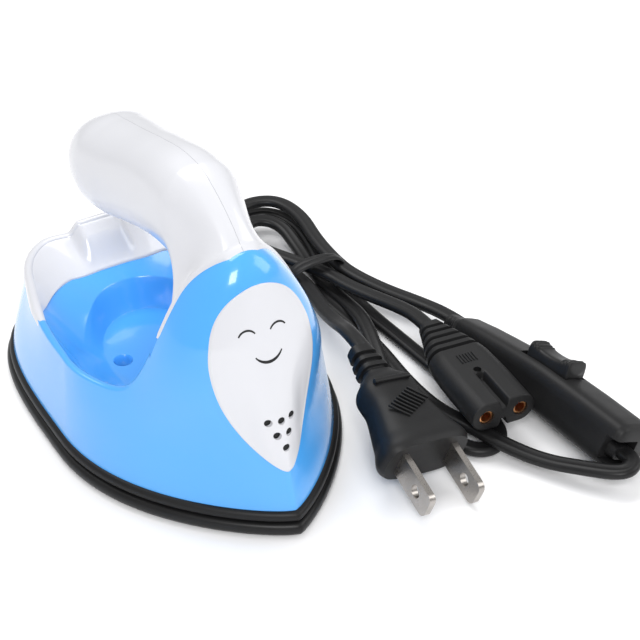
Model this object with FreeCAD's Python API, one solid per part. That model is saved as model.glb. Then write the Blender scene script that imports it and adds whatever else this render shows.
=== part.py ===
"""Mini iron with a detachable two-core lead.

Millimetres, +Z up, sole on z = 0, nose towards -Y, middle plane at x = 0.
Every separate piece of the real object is one node, written to parts/NODE.step.
"""
import FreeCAD
import Part
import math
import os

V = FreeCAD.Vector
UP = V(0, 0, 1)
ALONG = V(0, 1, 0)
ACROSS = V(1, 0, 0)

# ---- driving dimensions of the iron ----
SOLE_LENGTH = 105.0
SOLE_WIDTH = 66.2
SOLE_TOP = 3.0
SKIRT_TOP = 5.6
NOSE_SLOPE = 0.29            # nose leans back by this much per millimetre of height
SIDE_SLOPE = 0.12
REAR_SLOPE = 0.18
WIDEST_AT = 0.479            # share of the length from the nose to the widest point
NOSE_POWER = 0.789
REAR_POWER = 3.3
RIM = 24.8                   # top edge of the shell's side walls
DOME_TOP = 58.4
DOME_PEAK = 59.3
WALL = 2.2
POCKET_Z = 17.5              # edge of the oval pocket in the dish
POCKET_FLOOR = 9.5
POCKET_Y = 12.0
PARTING = 23.6               # line between the rear cover and the shell outside

# ---- handle ----
HANDLE_WALL = 2.4

# ---- figure-eight inlet and connector (C8 and C7 sizes) ----
PIN_PITCH = 8.6
PIN_R = 1.2
PIN_SHANK_R = 0.9
INLET_Z = 13.0
SOCKET_R = 1.35

# ---- plug (NEMA 1-15 sizes) ----
BLADE_PITCH = 12.7
BLADE_WIDE = 6.3
BLADE_THICK = 1.5
BLADE_OUT = 16.5

# ---- lead ----
CORD_R = 1.8                 # round solid of about the flat cord's section


def save(name, *solids):
    """Write one node; several solids stay separate in one compound."""
    shape = solids[0] if len(solids) == 1 else Part.makeCompound(list(solids))
    for solid in shape.Solids:
        if not solid.isValid():
            print("not valid:", name)
    print(f"{name:26s} solids {len(shape.Solids)} volume {shape.Volume:9.1f}")
    shape.exportStep(f"parts/{name}.step")


def smooth_loop(points):
    """Closed wire of one smooth periodic curve."""
    curve = Part.BSplineCurve()
    curve.interpolate(Points=points, PeriodicFlag=True)
    return Part.Wire([curve.toShape()])


def loft(wires, ruled=False):
    return Part.makeLoft(wires, True, ruled)


def half_outline(length, width, nose, steps=7):
    """Right half of a sole outline, (x, y) from the nose to the rear."""
    points = []
    for i in range(steps):
        turn = math.pi / 2 * i / (steps - 1)
        share = WIDEST_AT * (turn / (math.pi / 2)) ** (1 / NOSE_POWER)
        points.append((width / 2 * math.sin(turn), nose + length * share))
    for i in range(1, steps):
        turn = math.pi / 2 * i / (steps - 1)
        x = width / 2 * max(math.cos(turn), 0.0) ** (2 / REAR_POWER)
        back = math.sin(turn) ** (2 / REAR_POWER)
        points.append((x, nose + length * (WIDEST_AT + (1 - WIDEST_AT) * back)))
    return points


def outline(length, width, nose, z):
    right = half_outline(length, width, nose)
    left = [(-x, y) for x, y in reversed(right[1:-1])]
    return smooth_loop([V(x, y, z) for x, y in right + left])


def base_outline(inset, z):
    return outline(SOLE_LENGTH - 2 * inset, SOLE_WIDTH - 2 * inset, -SOLE_LENGTH / 2 + inset, z)


def nose_y(z):
    """Front of the shell on the middle plane; it rounds over towards the dome's top."""
    over = max(z - 54.0, 0.0)
    return -50.2 + NOSE_SLOPE * (z - SKIRT_TOP) + 0.09 * over ** 2


def shell_outline(z, inset=0.0):
    nose = nose_y(z) + inset
    rear = 51.0 - REAR_SLOPE * (z - SKIRT_TOP) - inset
    width = 2 * (31.2 - SIDE_SLOPE * (z - SKIRT_TOP) - inset)
    return outline(rear - nose, width, nose, z)


def arch_y(z):
    """Plane of the arch where the dome meets the handle; it leans forward at the top."""
    over = max(z - 50.0, 0.0)
    return -24.2 - 0.1 * (z - 35.0) - 0.045 * over ** 2


def arch_half_width(z):
    return 3.85 * math.sqrt(max(DOME_PEAK - z, 0.0))


def dome_section(z, inset=0.0):
    """Nose of the dome at one height, its sides spreading to a straight back at y = -18."""
    front = nose_y(z) + inset
    depth = arch_y(z) - front
    wide = arch_half_width(z) - inset
    power = 0.70 - 0.30 * min((z - 25.0) / 18.0, 1.0)
    right = []
    for turn in (0, 18, 36, 54, 72, 90):
        share = (turn / 90.0) ** (1 / power)
        right.append(V(wide * math.sin(math.radians(turn)), front + depth * share, z))
    spread = 5.0 * max((38.0 - z) / 13.0, 0.0)
    corner = V(wide + spread, -18.0, z)
    points = [V(-p.x, p.y, z) for p in reversed(right[1:])] + right
    curve = Part.BSplineCurve()
    curve.interpolate(Points=points)
    left_corner = V(-corner.x, -18.0, z)
    return Part.Wire([
        curve.toShape(),
        Part.LineSegment(points[-1], corner).toShape(),
        Part.LineSegment(corner, left_corner).toShape(),
        Part.LineSegment(left_corner, points[0]).toShape(),
    ])


def outer_form(inset=0.0):
    """The iron's whole outer form above the skirt, shrunk evenly by inset."""
    low = SKIRT_TOP - (2.0 if inset > 0.5 else 0.0)
    lower = loft([shell_outline(z, inset) for z in (low, 12.0, 18.5, 26.0)])
    top = DOME_TOP - inset
    heights = (25.0, 32.0, 39.0, 46.0, 51.0, 55.0, top)
    return lower.fuse(loft([dome_section(z, inset) for z in heights]))


def ellipse_loop(wide, long, mid_y, z, steps=16):
    points = []
    for i in range(steps):
        turn = 2 * math.pi * i / steps
        points.append(V(wide * math.cos(turn), mid_y + long * math.sin(turn), z))
    return smooth_loop(points)


def dish_top_loop(grow, z, steps=16):
    """Mouth of the dish: square-shouldered ahead, wider than the shell behind."""
    points = []
    for i in range(steps):
        turn = 2 * math.pi * i / steps
        c, s = math.cos(turn), math.sin(turn)
        x = (29.5 + grow) * math.copysign(abs(c) ** 0.55, c)
        reach = 33.5 if s > 0 else 31.0
        y = 14.0 + (reach + grow) * math.copysign(abs(s) ** 0.60, s)
        points.append(V(x, y, z))
    return smooth_loop(points)


def open_space(grow=0.0):
    """Everything that is open air over the shell: the dish and all above its rim."""
    drop = grow
    floor = POCKET_FLOOR - drop
    pocket = loft([
        ellipse_loop(12.5 + grow, 16.0 + grow, POCKET_Y - 1, floor),
        ellipse_loop(15.0 + grow, 19.5 + grow, POCKET_Y, POCKET_Z - drop + 0.01),
    ], ruled=True)
    funnel = loft([
        ellipse_loop(15.0 + grow, 19.5 + grow, POCKET_Y, POCKET_Z - drop),
        dish_top_loop(grow, RIM + 0.9 - drop),
    ], ruled=True)
    profile = [(-10, RIM), (-16, RIM + 0.2), (-19.6, 26.4), (-21.8, 28.8), (-23.2, 32.2)]
    profile += [(arch_y(z), z) for z in (38.0, 44.0, 50.0, 55.0, 59.5)]
    points = [V(-60, y - grow * 0.9, z - drop * 0.9) for y, z in profile]
    curve = Part.BSplineCurve()
    curve.interpolate(Points=points)
    far = [V(-60, points[-1].y, 90), V(-60, 80, 90), V(-60, 80, points[0].z)]
    edges = [curve.toShape()]
    corners = [points[-1]] + far + [points[0]]
    for a, b in zip(corners, corners[1:]):
        edges.append(Part.LineSegment(a, b).toShape())
    above = Part.Face(Part.Wire(edges)).extrude(V(120, 0, 0))
    return pocket.fuse(funnel).fuse(above), above


def cylinder(radius, height, base, axis=UP):
    return Part.makeCylinder(radius, height, V(*base), axis)


def screw(x, y, tip, head_z, shank_r=1.4, head_r=2.6, head_h=1.6):
    """Upright screw: shank from tip to head_z, then a domed head with a slot."""
    shank = cylinder(shank_r, head_z - tip + 0.5, (x, y, tip))
    head = cylinder(head_r, head_h, (x, y, head_z))
    slot = Part.makeBox(2 * head_r, 0.7, 0.7, V(x - head_r, y - 0.35, head_z + head_h - 0.7))
    return shank.fuse(head).cut(slot).removeSplitter()


def cut_all(shape, tools):
    for tool in tools:
        shape = shape.cut(tool)
    return shape


def largest(shape):
    return max(shape.Solids, key=lambda solid: solid.Volume)


# ---------------------------------------------------------------- iron: base
SKIRT_SCREWS = [(0, -40.5), (-23, 20), (23, 20), (0, 46)]
CLAMP_SCREWS = [(0, -33.5), (0, -1.5)]
DISH_SCREWS = [(-10, 11), (10, 11)]


def make_sole():
    plate = loft([base_outline(1.6, 0.0), base_outline(0.35, 0.7), base_outline(0.0, 1.6),
                  base_outline(0.7, SOLE_TOP)])
    holes = [cylinder(1.25, 3, (x, y, 0.9)) for x, y in SKIRT_SCREWS]
    holes += [cylinder(1.4, 3, (x, y, 0.9)) for x, y in CLAMP_SCREWS + DISH_SCREWS]
    return cut_all(plate, holes)


def make_skirt():
    ring = loft([base_outline(1.5, SOLE_TOP), base_outline(1.7, SKIRT_TOP)])
    ring = ring.cut(loft([base_outline(4.6, SOLE_TOP - 0.5), base_outline(4.6, SKIRT_TOP + 0.5)]))
    rim = loft([base_outline(1.6, SOLE_TOP), base_outline(1.6, SKIRT_TOP)])
    for x, y in SKIRT_SCREWS:
        ear = Part.makeBox(9, 9, SKIRT_TOP - SOLE_TOP, V(x - 4.5, y - 4.5, SOLE_TOP))
        ear = ear.fuse(cylinder(4.5, SKIRT_TOP - SOLE_TOP, (x, y, SOLE_TOP)))
        reach = Part.makeBox(abs(x) and 9 or 6, 6, SKIRT_TOP - SOLE_TOP,
                             V(x if x > 0 else x - (9 if x else 3), y - 3, SOLE_TOP))
        ring = ring.fuse(ear.fuse(reach).common(rim))
    ring = cut_all(ring, [cylinder(1.35, 9, (x, y, SOLE_TOP - 3)) for x, y in SKIRT_SCREWS])
    return largest(ring.removeSplitter())


def make_heater():
    heater = Part.makeBox(26, 28, 2.0, V(-13, -31.5, SOLE_TOP))
    heater = heater.makeFillet(1.5, [e for e in heater.Edges if abs(e.tangentAt(0).z) > 0.9])
    tabs = [Part.makeBox(3, 6, 0.6, V(x - 1.5, -3.5, SOLE_TOP + 0.8)) for x in (-8, 8)]
    return heater.fuse(tabs[0]).fuse(tabs[1])


def make_clamp_plate():
    """Sprung strap over the heater, its ends stepped down on to the sole."""
    top = SOLE_TOP + 2.0
    strap = Part.makeBox(8, 38, 1.0, V(-4, -36.5, top))
    for y in (-36.5, -1.5 - 2.0):
        foot = Part.makeBox(8, 5, top - SOLE_TOP, V(-4, y if y < -10 else -3.4, SOLE_TOP))
        strap = strap.fuse(foot)
    strap = strap.cut(Part.makeBox(26, 28.02, 2.0, V(-13, -31.51, SOLE_TOP)))
    strap = cut_all(strap, [cylinder(1.5, 9, (x, y, 0)) for x, y in CLAMP_SCREWS])
    return largest(strap.removeSplitter())


def make_insulation():
    """Mica sheet over the heater, slit for the strap's screws and the dish screws."""
    sheet = Part.makeBox(30, 26, 0.6, V(-15, -30.5, SOLE_TOP + 3.1))
    return cut_all(sheet, [cylinder(3.2, 9, (x, y, 0)) for x, y in CLAMP_SCREWS])


def make_thermostat():
    case = Part.makeBox(8, 16, 3.4, V(15.5, -8, SOLE_TOP))
    case = case.makeFillet(0.8, [e for e in case.Edges if abs(e.tangentAt(0).z) > 0.9])
    tabs = [Part.makeBox(2.4, 4, 0.6, V(16.0 + 4.6 * i, 8, SOLE_TOP + 1.4)) for i in (0, 1)]
    return case.fuse(tabs[0]).fuse(tabs[1])


def make_thermostat_bracket():
    over = Part.makeBox(9.4, 4, 4.2, V(14.8, -2, SOLE_TOP))
    return over.cut(Part.makeBox(8.1, 5, 3.45, V(15.45, -2.5, SOLE_TOP)))


def make_thermal_fuse():
    body = cylinder(1.6, 11, (-19, -6, SOLE_TOP + 1.7), ALONG)
    legs = [cylinder(0.4, 4, (-19, y, SOLE_TOP + 1.7), ALONG) for y in (-10, 5)]
    return body.fuse(legs[0]).fuse(legs[1])


def rounded_path(points, report=None):
    """Straight runs joined by tangent arcs, each as large as its two runs allow."""
    edges = []
    start = points[0]
    radii = []
    for before, here, after in zip(points, points[1:], points[2:]):
        into = (here - before).normalize()
        out = (after - here).normalize()
        turn = into.getAngle(out)
        trim = 0.45 * min((here - before).Length, (after - here).Length)
        radii.append(trim / math.tan(turn / 2))
        first = here - into * trim
        last = here + out * trim
        bisect = (out - into).normalize()
        centre_gap = radii[-1] / math.cos(turn / 2)
        middle = here + bisect * (centre_gap - radii[-1])
        edges.append(Part.LineSegment(start, first).toShape())
        edges.append(Part.Arc(first, middle, last).toShape())
        start = last
    edges.append(Part.LineSegment(start, points[-1]).toShape())
    if report:
        print(f"{report}: radii", [round(r, 1) for r in radii])
    return Part.Wire(edges)


def tube(points, radius, report=None):
    points = [V(*p) for p in points]
    path = rounded_path(points, report)
    direction = (points[1] - points[0]).normalize()
    ring = Part.Wire([Part.Edge(Part.Circle(points[0], direction, radius))])
    solid = path.makePipeShell([ring], True, False)
    if report:
        expected = math.pi * radius ** 2 * path.Length
        print(f"{report}: length {path.Length:.1f}, volume {solid.Volume / expected:.4f} of expected")
    return solid


def make_internal_wires():
    """Two sleeved wires from the inlet's tabs round the pocket to fuse and thermostat."""
    wires = []
    for side, end_x, end_y in ((-1, -19, 10), (1, 17.2, 13)):
        wires.append(tube([
            (side * PIN_PITCH / 2, 37.0, INLET_Z), (side * 6.5, 33.5, 11.5),
            (side * 13.5, 30.5, 7.2), (side * 15.5, 22.0, 5.6),
            (side * 16.8, end_y + 4.4, 4.9), (end_x, end_y, SOLE_TOP + 1.7)], 0.8))
    return wires


# ---------------------------------------------------------------- iron: shell and cover
PANEL_TOP = 54.1
PANEL_TIP = 14.3
PANEL_WIDEST = 38.0
PANEL_HALF = 12.0


def panel_half_width(z):
    if z > PANEL_WIDEST:
        share = (z - PANEL_WIDEST) / (PANEL_TOP - PANEL_WIDEST)
        return PANEL_HALF * math.sqrt(max(1 - share ** 2, 0))
    share = (PANEL_WIDEST - z) / (PANEL_WIDEST - PANEL_TIP)
    return PANEL_HALF * math.cos(math.pi / 2 * share) ** 0.95


def panel_prism(gap):
    """Upright prism along Y of the face panel's outline, grown by gap."""
    right = []
    for i in range(15):
        turn = math.pi * i / 14
        z = PANEL_WIDEST + (PANEL_TOP - PANEL_WIDEST) * math.cos(turn)
        if turn > math.pi / 2:
            z = PANEL_WIDEST + (PANEL_WIDEST - PANEL_TIP) * math.cos(turn)
        right.append((panel_half_width(z), z))
    points = [V(x * (1 + gap / PANEL_HALF), -60, z + gap * (z - PANEL_WIDEST) / 20) for x, z in right]
    left = [V(-p.x, p.y, p.z) for p in reversed(points[1:-1])]
    return Part.Face(smooth_loop(points + left)).extrude(V(0, 32, 0))


def cover_region(lowest):
    """Prism over the plan of the rear cover, behind the line that divides the dish."""
    line = [(-34, 10), (-26, 18), (-19.5, 28), (-12, 32.8), (0, 34.5)]
    points = [V(x, y, lowest) for x, y in line]
    points += [V(-x, y, lowest) for x, y in reversed(line[:-1])]
    curve = Part.BSplineCurve()
    curve.interpolate(Points=points)
    corners = [points[-1], V(40, 60, lowest), V(-40, 60, lowest), points[0]]
    edges = [curve.toShape()]
    for a, b in zip(corners, corners[1:]):
        edges.append(Part.LineSegment(a, b).toShape())
    return Part.Face(Part.Wire(edges)).extrude(V(0, 0, 60))


def make_shell_and_cover():
    outer = outer_form()
    inner = outer_form(WALL)
    air, above = open_space()
    air_thick, _ = open_space(2.0)
    hollow = inner.cut(air_thick)
    wall = largest(outer.cut(air).cut(hollow))
    inside = inner.cut(air)
    cover = wall.common(cover_region(PARTING))
    cover = cover.fuse(wall.common(inside).common(cover_region(14.0)))
    door = Part.makeBox(26, 8, 18, V(-13, 44.0, 8.0))
    cover = cover.fuse(wall.common(door))
    shell = wall.cut(cover)
    hood = cylinder(8.6, 12, (0, 35.6, 19.6), ALONG)
    hood = hood.cut(cylinder(6.6, 14, (0, 35.0, 19.6), ALONG))
    hood = hood.common(Part.makeBox(16, 11, 8, V(-8, 36.5, 21.5))).common(outer_reach())
    cover = cover.fuse(hood.cut(inner.cut(air)))
    return largest(shell), largest(cover.removeSplitter()), above


def outer_reach():
    """Tall straight-sided block of the rear outline, which the hood stays within."""
    return loft([outline(96.0, 58.0, -48.4, 10.0), outline(95.0, 57.0, -48.4, 40.0)])


def fit_shell(shell):
    """Bosses for the dish screws, holes, and the seat of the face panel."""
    for x, y in DISH_SCREWS:
        shell = shell.fuse(cylinder(3.4, POCKET_FLOOR - 1.0 - SOLE_TOP, (x, y, SOLE_TOP)))
    holes = [cylinder(1.5, 20, (x, y, SOLE_TOP - 1)) for x, y in DISH_SCREWS]
    holes += [cylinder(2.8, 6, (x, y, POCKET_FLOOR - 1.2)) for x, y in DISH_SCREWS]
    holes += [cylinder(1.5, 12, (x, -34, 40), ALONG) for x in (-7, 7)]
    holes.append(Part.makeBox(17.2, 12, 10.8, V(-8.6, 42, INLET_Z - 5.4)))
    return largest(cut_all(shell, holes))


def make_panel():
    skin = outer_form(-0.4).cut(outer_form(1.3))
    panel = largest(skin.common(panel_prism(0.0)))
    vents = []
    for row, count in enumerate((3, 2, 1)):
        for i in range(count):
            x = (i - (count - 1) / 2) * 2.7
            vents.append(cylinder(0.75, 20, (x, -56, 25.7 - 2.25 * row), ALONG))
    mouth = Part.makeTorus(3.6, 0.35, V(0, -41, 41.6), ALONG)
    mouth = mouth.common(Part.makeBox(20, 30, 3.6, V(-10, -60, 37.6)))
    panel = cut_all(panel, vents)
    return largest(panel.cut(mouth))


# ---------------------------------------------------------------- iron: handle
# Each section: y, top, bottom, half width, spread towards the bottom
HANDLE = [
    (-36.0, 57.0, 37.0, 13.0, 0.45), (-31.0, 61.5, 35.5, 14.5, 0.45),
    (-27.0, 64.5, 36.5, 13.8, 0.42), (-22.0, 68.2, 41.5, 11.8, 0.20),
    (-16.0, 70.6, 45.5, 10.4, 0.0), (-8.0, 71.4, 47.4, 9.8, 0.0),
    (2.0, 70.2, 46.5, 9.6, 0.0), (12.0, 68.2, 43.8, 10.0, 0.0),
    (22.0, 66.4, 41.4, 10.8, 0.0), (29.0, 64.8, 41.4, 10.8, 0.0),
    (34.5, 62.0, 43.4, 9.4, 0.0), (38.0, 58.6, 46.6, 6.4, 0.0), (39.6, 54.8, 50.6, 2.4, 0.0),
]


def handle_section(y, top, bottom, half, spread, shrink=0.0):
    mid = (top + bottom) / 2
    rise = (top - bottom) / 2 - shrink
    points = []
    for i in range(16):
        turn = 2 * math.pi * i / 16
        x = (half - shrink) * math.cos(turn) * (1 - spread * math.sin(turn))
        points.append(V(x, y, mid + rise * math.sin(turn)))
    return smooth_loop(points)


def make_handle(above):
    solid = loft([handle_section(*section) for section in HANDLE])
    core = [s for s in HANDLE[1:-2]]
    hollow = loft([handle_section(*section, shrink=HANDLE_WALL) for section in core])
    front = Part.makeBox(80, 30, 80, V(-40, -29.5, 0)).fuse(Part.makeBox(80, 40, 80, V(-40, 0, 0)))
    handle = solid.cut(hollow.common(front)).common(above)
    bosses = [cylinder(3.0, 18, (-9, y, z), ACROSS) for y, z in HANDLE_SCREWS]
    for boss in bosses:
        handle = handle.fuse(boss.common(solid))
    left = handle.common(Part.makeBox(60, 200, 200, V(-60, -100, 0)))
    right = handle.common(Part.makeBox(60, 200, 200, V(0, -100, 0)))
    for y, z in HANDLE_SCREWS:
        left = left.cut(cylinder(1.25, 5.5, (-5.5, y, z), ACROSS))
        right = right.cut(cylinder(1.3, 30, (-1, y, z), ACROSS))
        right = right.cut(cylinder(2.6, 30, (6.0, y, z), ACROSS))
    return largest(left), largest(right)


HANDLE_SCREWS = [(20.0, 54.0), (-10.0, 59.5)]


def side_screw(y, z):
    shank = cylinder(1.2, 11.5, (-5.3, y, z), ACROSS)
    head = cylinder(2.5, 1.5, (6.05, y, z), ACROSS)
    slot = Part.makeBox(0.7, 0.7, 6, V(6.9, y - 0.35, z - 3))
    return shank.fuse(head).cut(slot).removeSplitter()


# ---------------------------------------------------------------- iron: inlet
def eight(face_y, depth, half_pitch, radius, z):
    """Figure-eight prism along Y: two rounds joined by a waist."""
    rounds = [cylinder(radius, depth, (side * half_pitch, face_y, z), ALONG) for side in (-1, 1)]
    waist = Part.makeBox(2 * half_pitch, depth, 2 * radius * 0.82,
                         V(-half_pitch, face_y, z - radius * 0.82))
    return rounds[0].fuse(waist).fuse(rounds[1]).removeSplitter()


INLET_FRONT = 39.5


def make_inlet():
    block = Part.makeBox(17.0, 49.0 - INLET_FRONT, 10.6, V(-8.5, INLET_FRONT, INLET_Z - 5.3))
    block = block.makeFillet(1.0, [e for e in block.Edges if abs(e.tangentAt(0).y) > 0.9])
    recess = eight(INLET_FRONT + 1.5, 20, PIN_PITCH / 2, 3.9, INLET_Z)
    body = block.cut(recess)
    holes = [cylinder(PIN_SHANK_R, 8, (side * PIN_PITCH / 2, INLET_FRONT - 2, INLET_Z), ALONG)
             for side in (-1, 1)]
    return cut_all(body, holes)


def make_inlet_pins():
    pins = []
    for side in (-1, 1):
        pin = cylinder(PIN_R, 7.0, (side * PIN_PITCH / 2, INLET_FRONT + 1.5, INLET_Z), ALONG)
        pin = pin.makeFillet(0.5, [pin.Edges[0]])
        shank = cylinder(PIN_SHANK_R, 3.4, (side * PIN_PITCH / 2, INLET_FRONT - 1.7, INLET_Z), ALONG)
        pins.append(pin.fuse(shank).removeSplitter())
    return pins


# ---------------------------------------------------------------- lead
def placed(shape, at, yaw, pitch=0.0, roll=0.0):
    """Turn a shape built along +X (nose), then move it; pitch lowers the nose."""
    turn = FreeCAD.Rotation(UP, yaw).multiply(FreeCAD.Rotation(V(0, 1, 0), pitch))
    turn = turn.multiply(FreeCAD.Rotation(V(1, 0, 0), roll))
    copy = shape.copy()
    copy.Placement = FreeCAD.Placement(V(*at), turn).multiply(copy.Placement)
    return copy


def block_section(x, wide, high, corner, lift=0.0):
    """Rounded rectangle across X, centred on z = lift."""
    points = []
    power = 2.0 / corner
    for i in range(16):
        turn = 2 * math.pi * (i + 0.5) / 16
        c, s = math.cos(turn), math.sin(turn)
        y = wide / 2 * math.copysign(abs(c) ** power, c)
        z = high / 2 * math.copysign(abs(s) ** power, s) + lift
        points.append(V(x, y, z))
    return smooth_loop(points)


# face centre, yaw and tilt of the three pieces on the lead
CONNECTOR = ((53.3, -51.4, 9.4), -97.8, 0.0, 0.0)
SWITCH = ((71.5, -73.4, 7.3), -88.0, 0.0, -24.0)
PLUG = ((31.5, -49.0, 8.6), -95.0, 15.0, -10.0)
CONNECTOR_LONG = 23.0
SWITCH_LONG = 58.0
PLUG_LONG = 19.0


def make_connector():
    rounds = [cylinder(4.1, CONNECTOR_LONG, (-CONNECTOR_LONG, side * PIN_PITCH / 2, 0), ACROSS)
              for side in (-1, 1)]
    waist = Part.makeBox(CONNECTOR_LONG, PIN_PITCH, 6.6, V(-CONNECTOR_LONG, -PIN_PITCH / 2, -3.3))
    body = rounds[0].fuse(waist).fuse(rounds[1])
    taper = loft([block_section(-CONNECTOR_LONG - 6, 10.2, 6.2, 3.4),
                  block_section(-CONNECTOR_LONG + 1, 13.2, 6.2, 3.4)])
    body = body.fuse(taper)
    sockets = [cylinder(SOCKET_R, 9.0, (-9.0, side * PIN_PITCH / 2, 0), ACROSS) for side in (-1, 1)]
    wells = [cylinder(1.9, 7.0, (-9.0, side * PIN_PITCH / 2, 0), ACROSS) for side in (-1, 1)]
    return largest(cut_all(body, sockets + wells).removeSplitter())


def make_connector_contacts():
    tubes = []
    for side in (-1, 1):
        sleeve = cylinder(1.85, 6.8, (-8.9, side * PIN_PITCH / 2, 0), ACROSS)
        tubes.append(sleeve.cut(cylinder(SOCKET_R, 9, (-9.0, side * PIN_PITCH / 2, 0), ACROSS)))
    return tubes


def strain_relief(start, length, wide, high, end_wide, end_high, ribs=4):
    """Tapered sleeve running back from x = start, with grooves across it."""
    sleeve = loft([block_section(start - length, end_wide, end_high, 3.0),
                   block_section(start, wide, high, 3.0)])
    pitch = length / (ribs + 0.5)
    for i in range(ribs):
        x = start - pitch * (i + 0.7)
        share = (start - x) / length
        w = wide + (end_wide - wide) * share
        h = high + (end_high - high) * share
        ring = Part.makeBox(pitch * 0.4, w + 2, h + 2, V(x - pitch * 0.4, -w / 2 - 1, -h / 2 - 1))
        ring = ring.cut(loft([block_section(x - pitch * 0.45, w - 1.5, h - 1.0, 3.0),
                              block_section(x + pitch * 0.05, w - 1.4, h - 0.9, 3.0)]))
        sleeve = sleeve.cut(ring)
    return largest(sleeve)


SWITCH_SECTIONS = [(-SWITCH_LONG, 7.6, 7.2), (-54.0, 9.2, 9.0), (-44.0, 10.4, 10.8),
                   (-30.0, 11.4, 12.2), (-14.0, 12.0, 13.0), (-4.0, 12.0, 13.0), (-1.0, 11.2, 12.2),
                   (0.0, 9.8, 10.8)]
ROCKER_AT = -27.0


def make_switch():
    solid = loft([block_section(x, w, h, 3.4) for x, w, h in SWITCH_SECTIONS])
    core = loft([block_section(x, w - 3.4, h - 3.4, 3.4) for x, w, h in SWITCH_SECTIONS[1:-1]])
    hull = solid.cut(core)
    window = Part.makeBox(18.4, 8.4, 9, V(ROCKER_AT - 9.2, -4.2, 2.0))
    lower = hull.common(Part.makeBox(200, 40, 20, V(-150, -20, -20)))
    upper = hull.common(Part.makeBox(200, 40, 20, V(-150, -20, 0))).cut(window)
    bosses = []
    for x in SWITCH_SCREWS:
        boss = cylinder(2.4, 12, (x, 0, -6)).common(solid)
        bosses.append(boss)
        lower = lower.fuse(boss.common(Part.makeBox(200, 40, 20, V(-150, -20, -20))))
    lower = cut_all(lower, [cylinder(1.1, 30, (x, 0, -20)) for x in SWITCH_SCREWS])
    lower = cut_all(lower, [cylinder(2.1, 15, (x, 0, -20.2)) for x in SWITCH_SCREWS])
    blocks = [Part.makeBox(3.0, 2.0, 4.2, V(ROCKER_AT - 1.5, y, 0.9)) for y in (-5.3, 3.3)]
    for block in blocks:
        upper = upper.fuse(block.common(solid))
    upper = upper.cut(cylinder(0.85, 9.4, (ROCKER_AT, -4.7, 3.2), ALONG))
    return largest(lower), largest(upper)


SWITCH_SCREWS = (-47.0, -8.0)
ROCKER_TILT = 12.0


def make_rocker():
    """Saddle-shaped button, tipped to its first stop."""
    base = [V(-8.2, -3.1, 2.2), V(8.2, -3.1, 2.2), V(8.6, -3.1, 7.2), V(3.0, -3.1, 8.0),
            V(0.0, -3.1, 7.4), V(-3.0, -3.1, 8.0), V(-8.6, -3.1, 7.2), V(-8.2, -3.1, 2.2)]
    body = Part.Face(Part.makePolygon(base)).extrude(V(0, 6.2, 0))
    body = body.cut(cylinder(0.9, 12, (0, -6, 3.2), ALONG))
    body.rotate(V(0, 0, 3.2), ALONG, -ROCKER_TILT / 2)
    body.translate(V(ROCKER_AT, 0, 0))
    return body


def make_plug():
    body = loft([block_section(-PLUG_LONG, 12.0, 8.6, 3.2), block_section(-12.0, 15.0, 10.0, 3.2),
                 block_section(-5.0, 19.0, 11.0, 3.4), block_section(0.0, 20.0, 11.4, 3.6)])
    bar = Part.makeBox(2.0, 11.0, 1.6, V(-PLUG_LONG + 2, -5.5, 3.9))
    body = body.fuse(bar)
    for side in (-1, 1):
        body = body.cut(Part.makeBox(8.0, BLADE_THICK, BLADE_WIDE,
                                     V(-7.0, side * BLADE_PITCH / 2 - BLADE_THICK / 2, -BLADE_WIDE / 2)))
    return body.removeSplitter()


def make_blades():
    blades = []
    for side in (-1, 1):
        low = V(-7.0, side * BLADE_PITCH / 2 - BLADE_THICK / 2, -BLADE_WIDE / 2)
        blade = Part.makeBox(BLADE_OUT + 7.0, BLADE_THICK, BLADE_WIDE, low)
        tip = [e for e in blade.Edges if abs(e.tangentAt(0).y) > 0.9 and e.CenterOfMass.x > 10]
        blade = blade.makeFillet(1.6, tip)
        hole = cylinder(1.5, 4, (BLADE_OUT - 5.0, side * BLADE_PITCH / 2 - 2, 0), ALONG)
        blades.append(blade.cut(hole))
    return blades


# Hand-chosen routes, from the piece they leave to the hank (x, y, z)
ROUTE_CONNECTOR = [(58.1, -16.1, 9.4), (58.7, -10.8, 9.2), (58.2, -4.0, 8.2), (56.0, 5.0, 7.0),
                   (53.6, 13.0, 6.6), (52.4, 20.0, 6.6)]
ROUTE_SWITCH_IN = [(69.3, -11.8, 7.3), (69.0, -7.0, 7.0), (66.0, 0.6, 6.2), (61.6, 7.4, 6.4),
                   (58.2, 14.6, 6.6), (56.9, 21.5, 6.6)]
ROUTE_SWITCH_OUT = [(71.6, -76.0, 7.3), (71.6, -79.6, 6.4), (68.2, -82.4, 3.8), (62.6, -79.0, 2.2),
                    (56.0, -71.4, 2.2), (49.6, -61.6, 2.2), (45.2, -50.0, 2.2), (43.4, -38.0, 2.2),
                    (43.4, -25.0, 2.2), (44.6, -11.0, 2.2), (46.2, 4.0, 2.2), (47.4, 18.0, 2.2)]
ROUTE_BIGHT = [(55.8, 19.0, 2.2), (55.4, 6.0, 2.2), (56.4, -8.0, 2.2), (57.4, -20.0, 2.2),
               (57.8, -30.0, 2.2), (57.4, -37.0, 2.2), (57.0, -41.8, 2.2), (54.2, -44.6, 2.2),
               (50.2, -44.6, 2.2), (47.4, -41.8, 2.2), (47.3, -37.0, 2.2), (47.6, -30.0, 2.2),
               (48.0, -20.0, 2.2), (49.0, -8.0, 2.2), (50.6, 6.0, 2.2), (51.6, 19.0, 2.2)]
ROUTE_PLUG = [(35.0, -22.0, 16.0), (36.0, -15.0, 16.0), (38.4, -6.0, 12.0), (41.2, 3.0, 8.2),
              (43.8, 12.0, 6.4), (45.4, 20.0, 6.4)]


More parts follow.
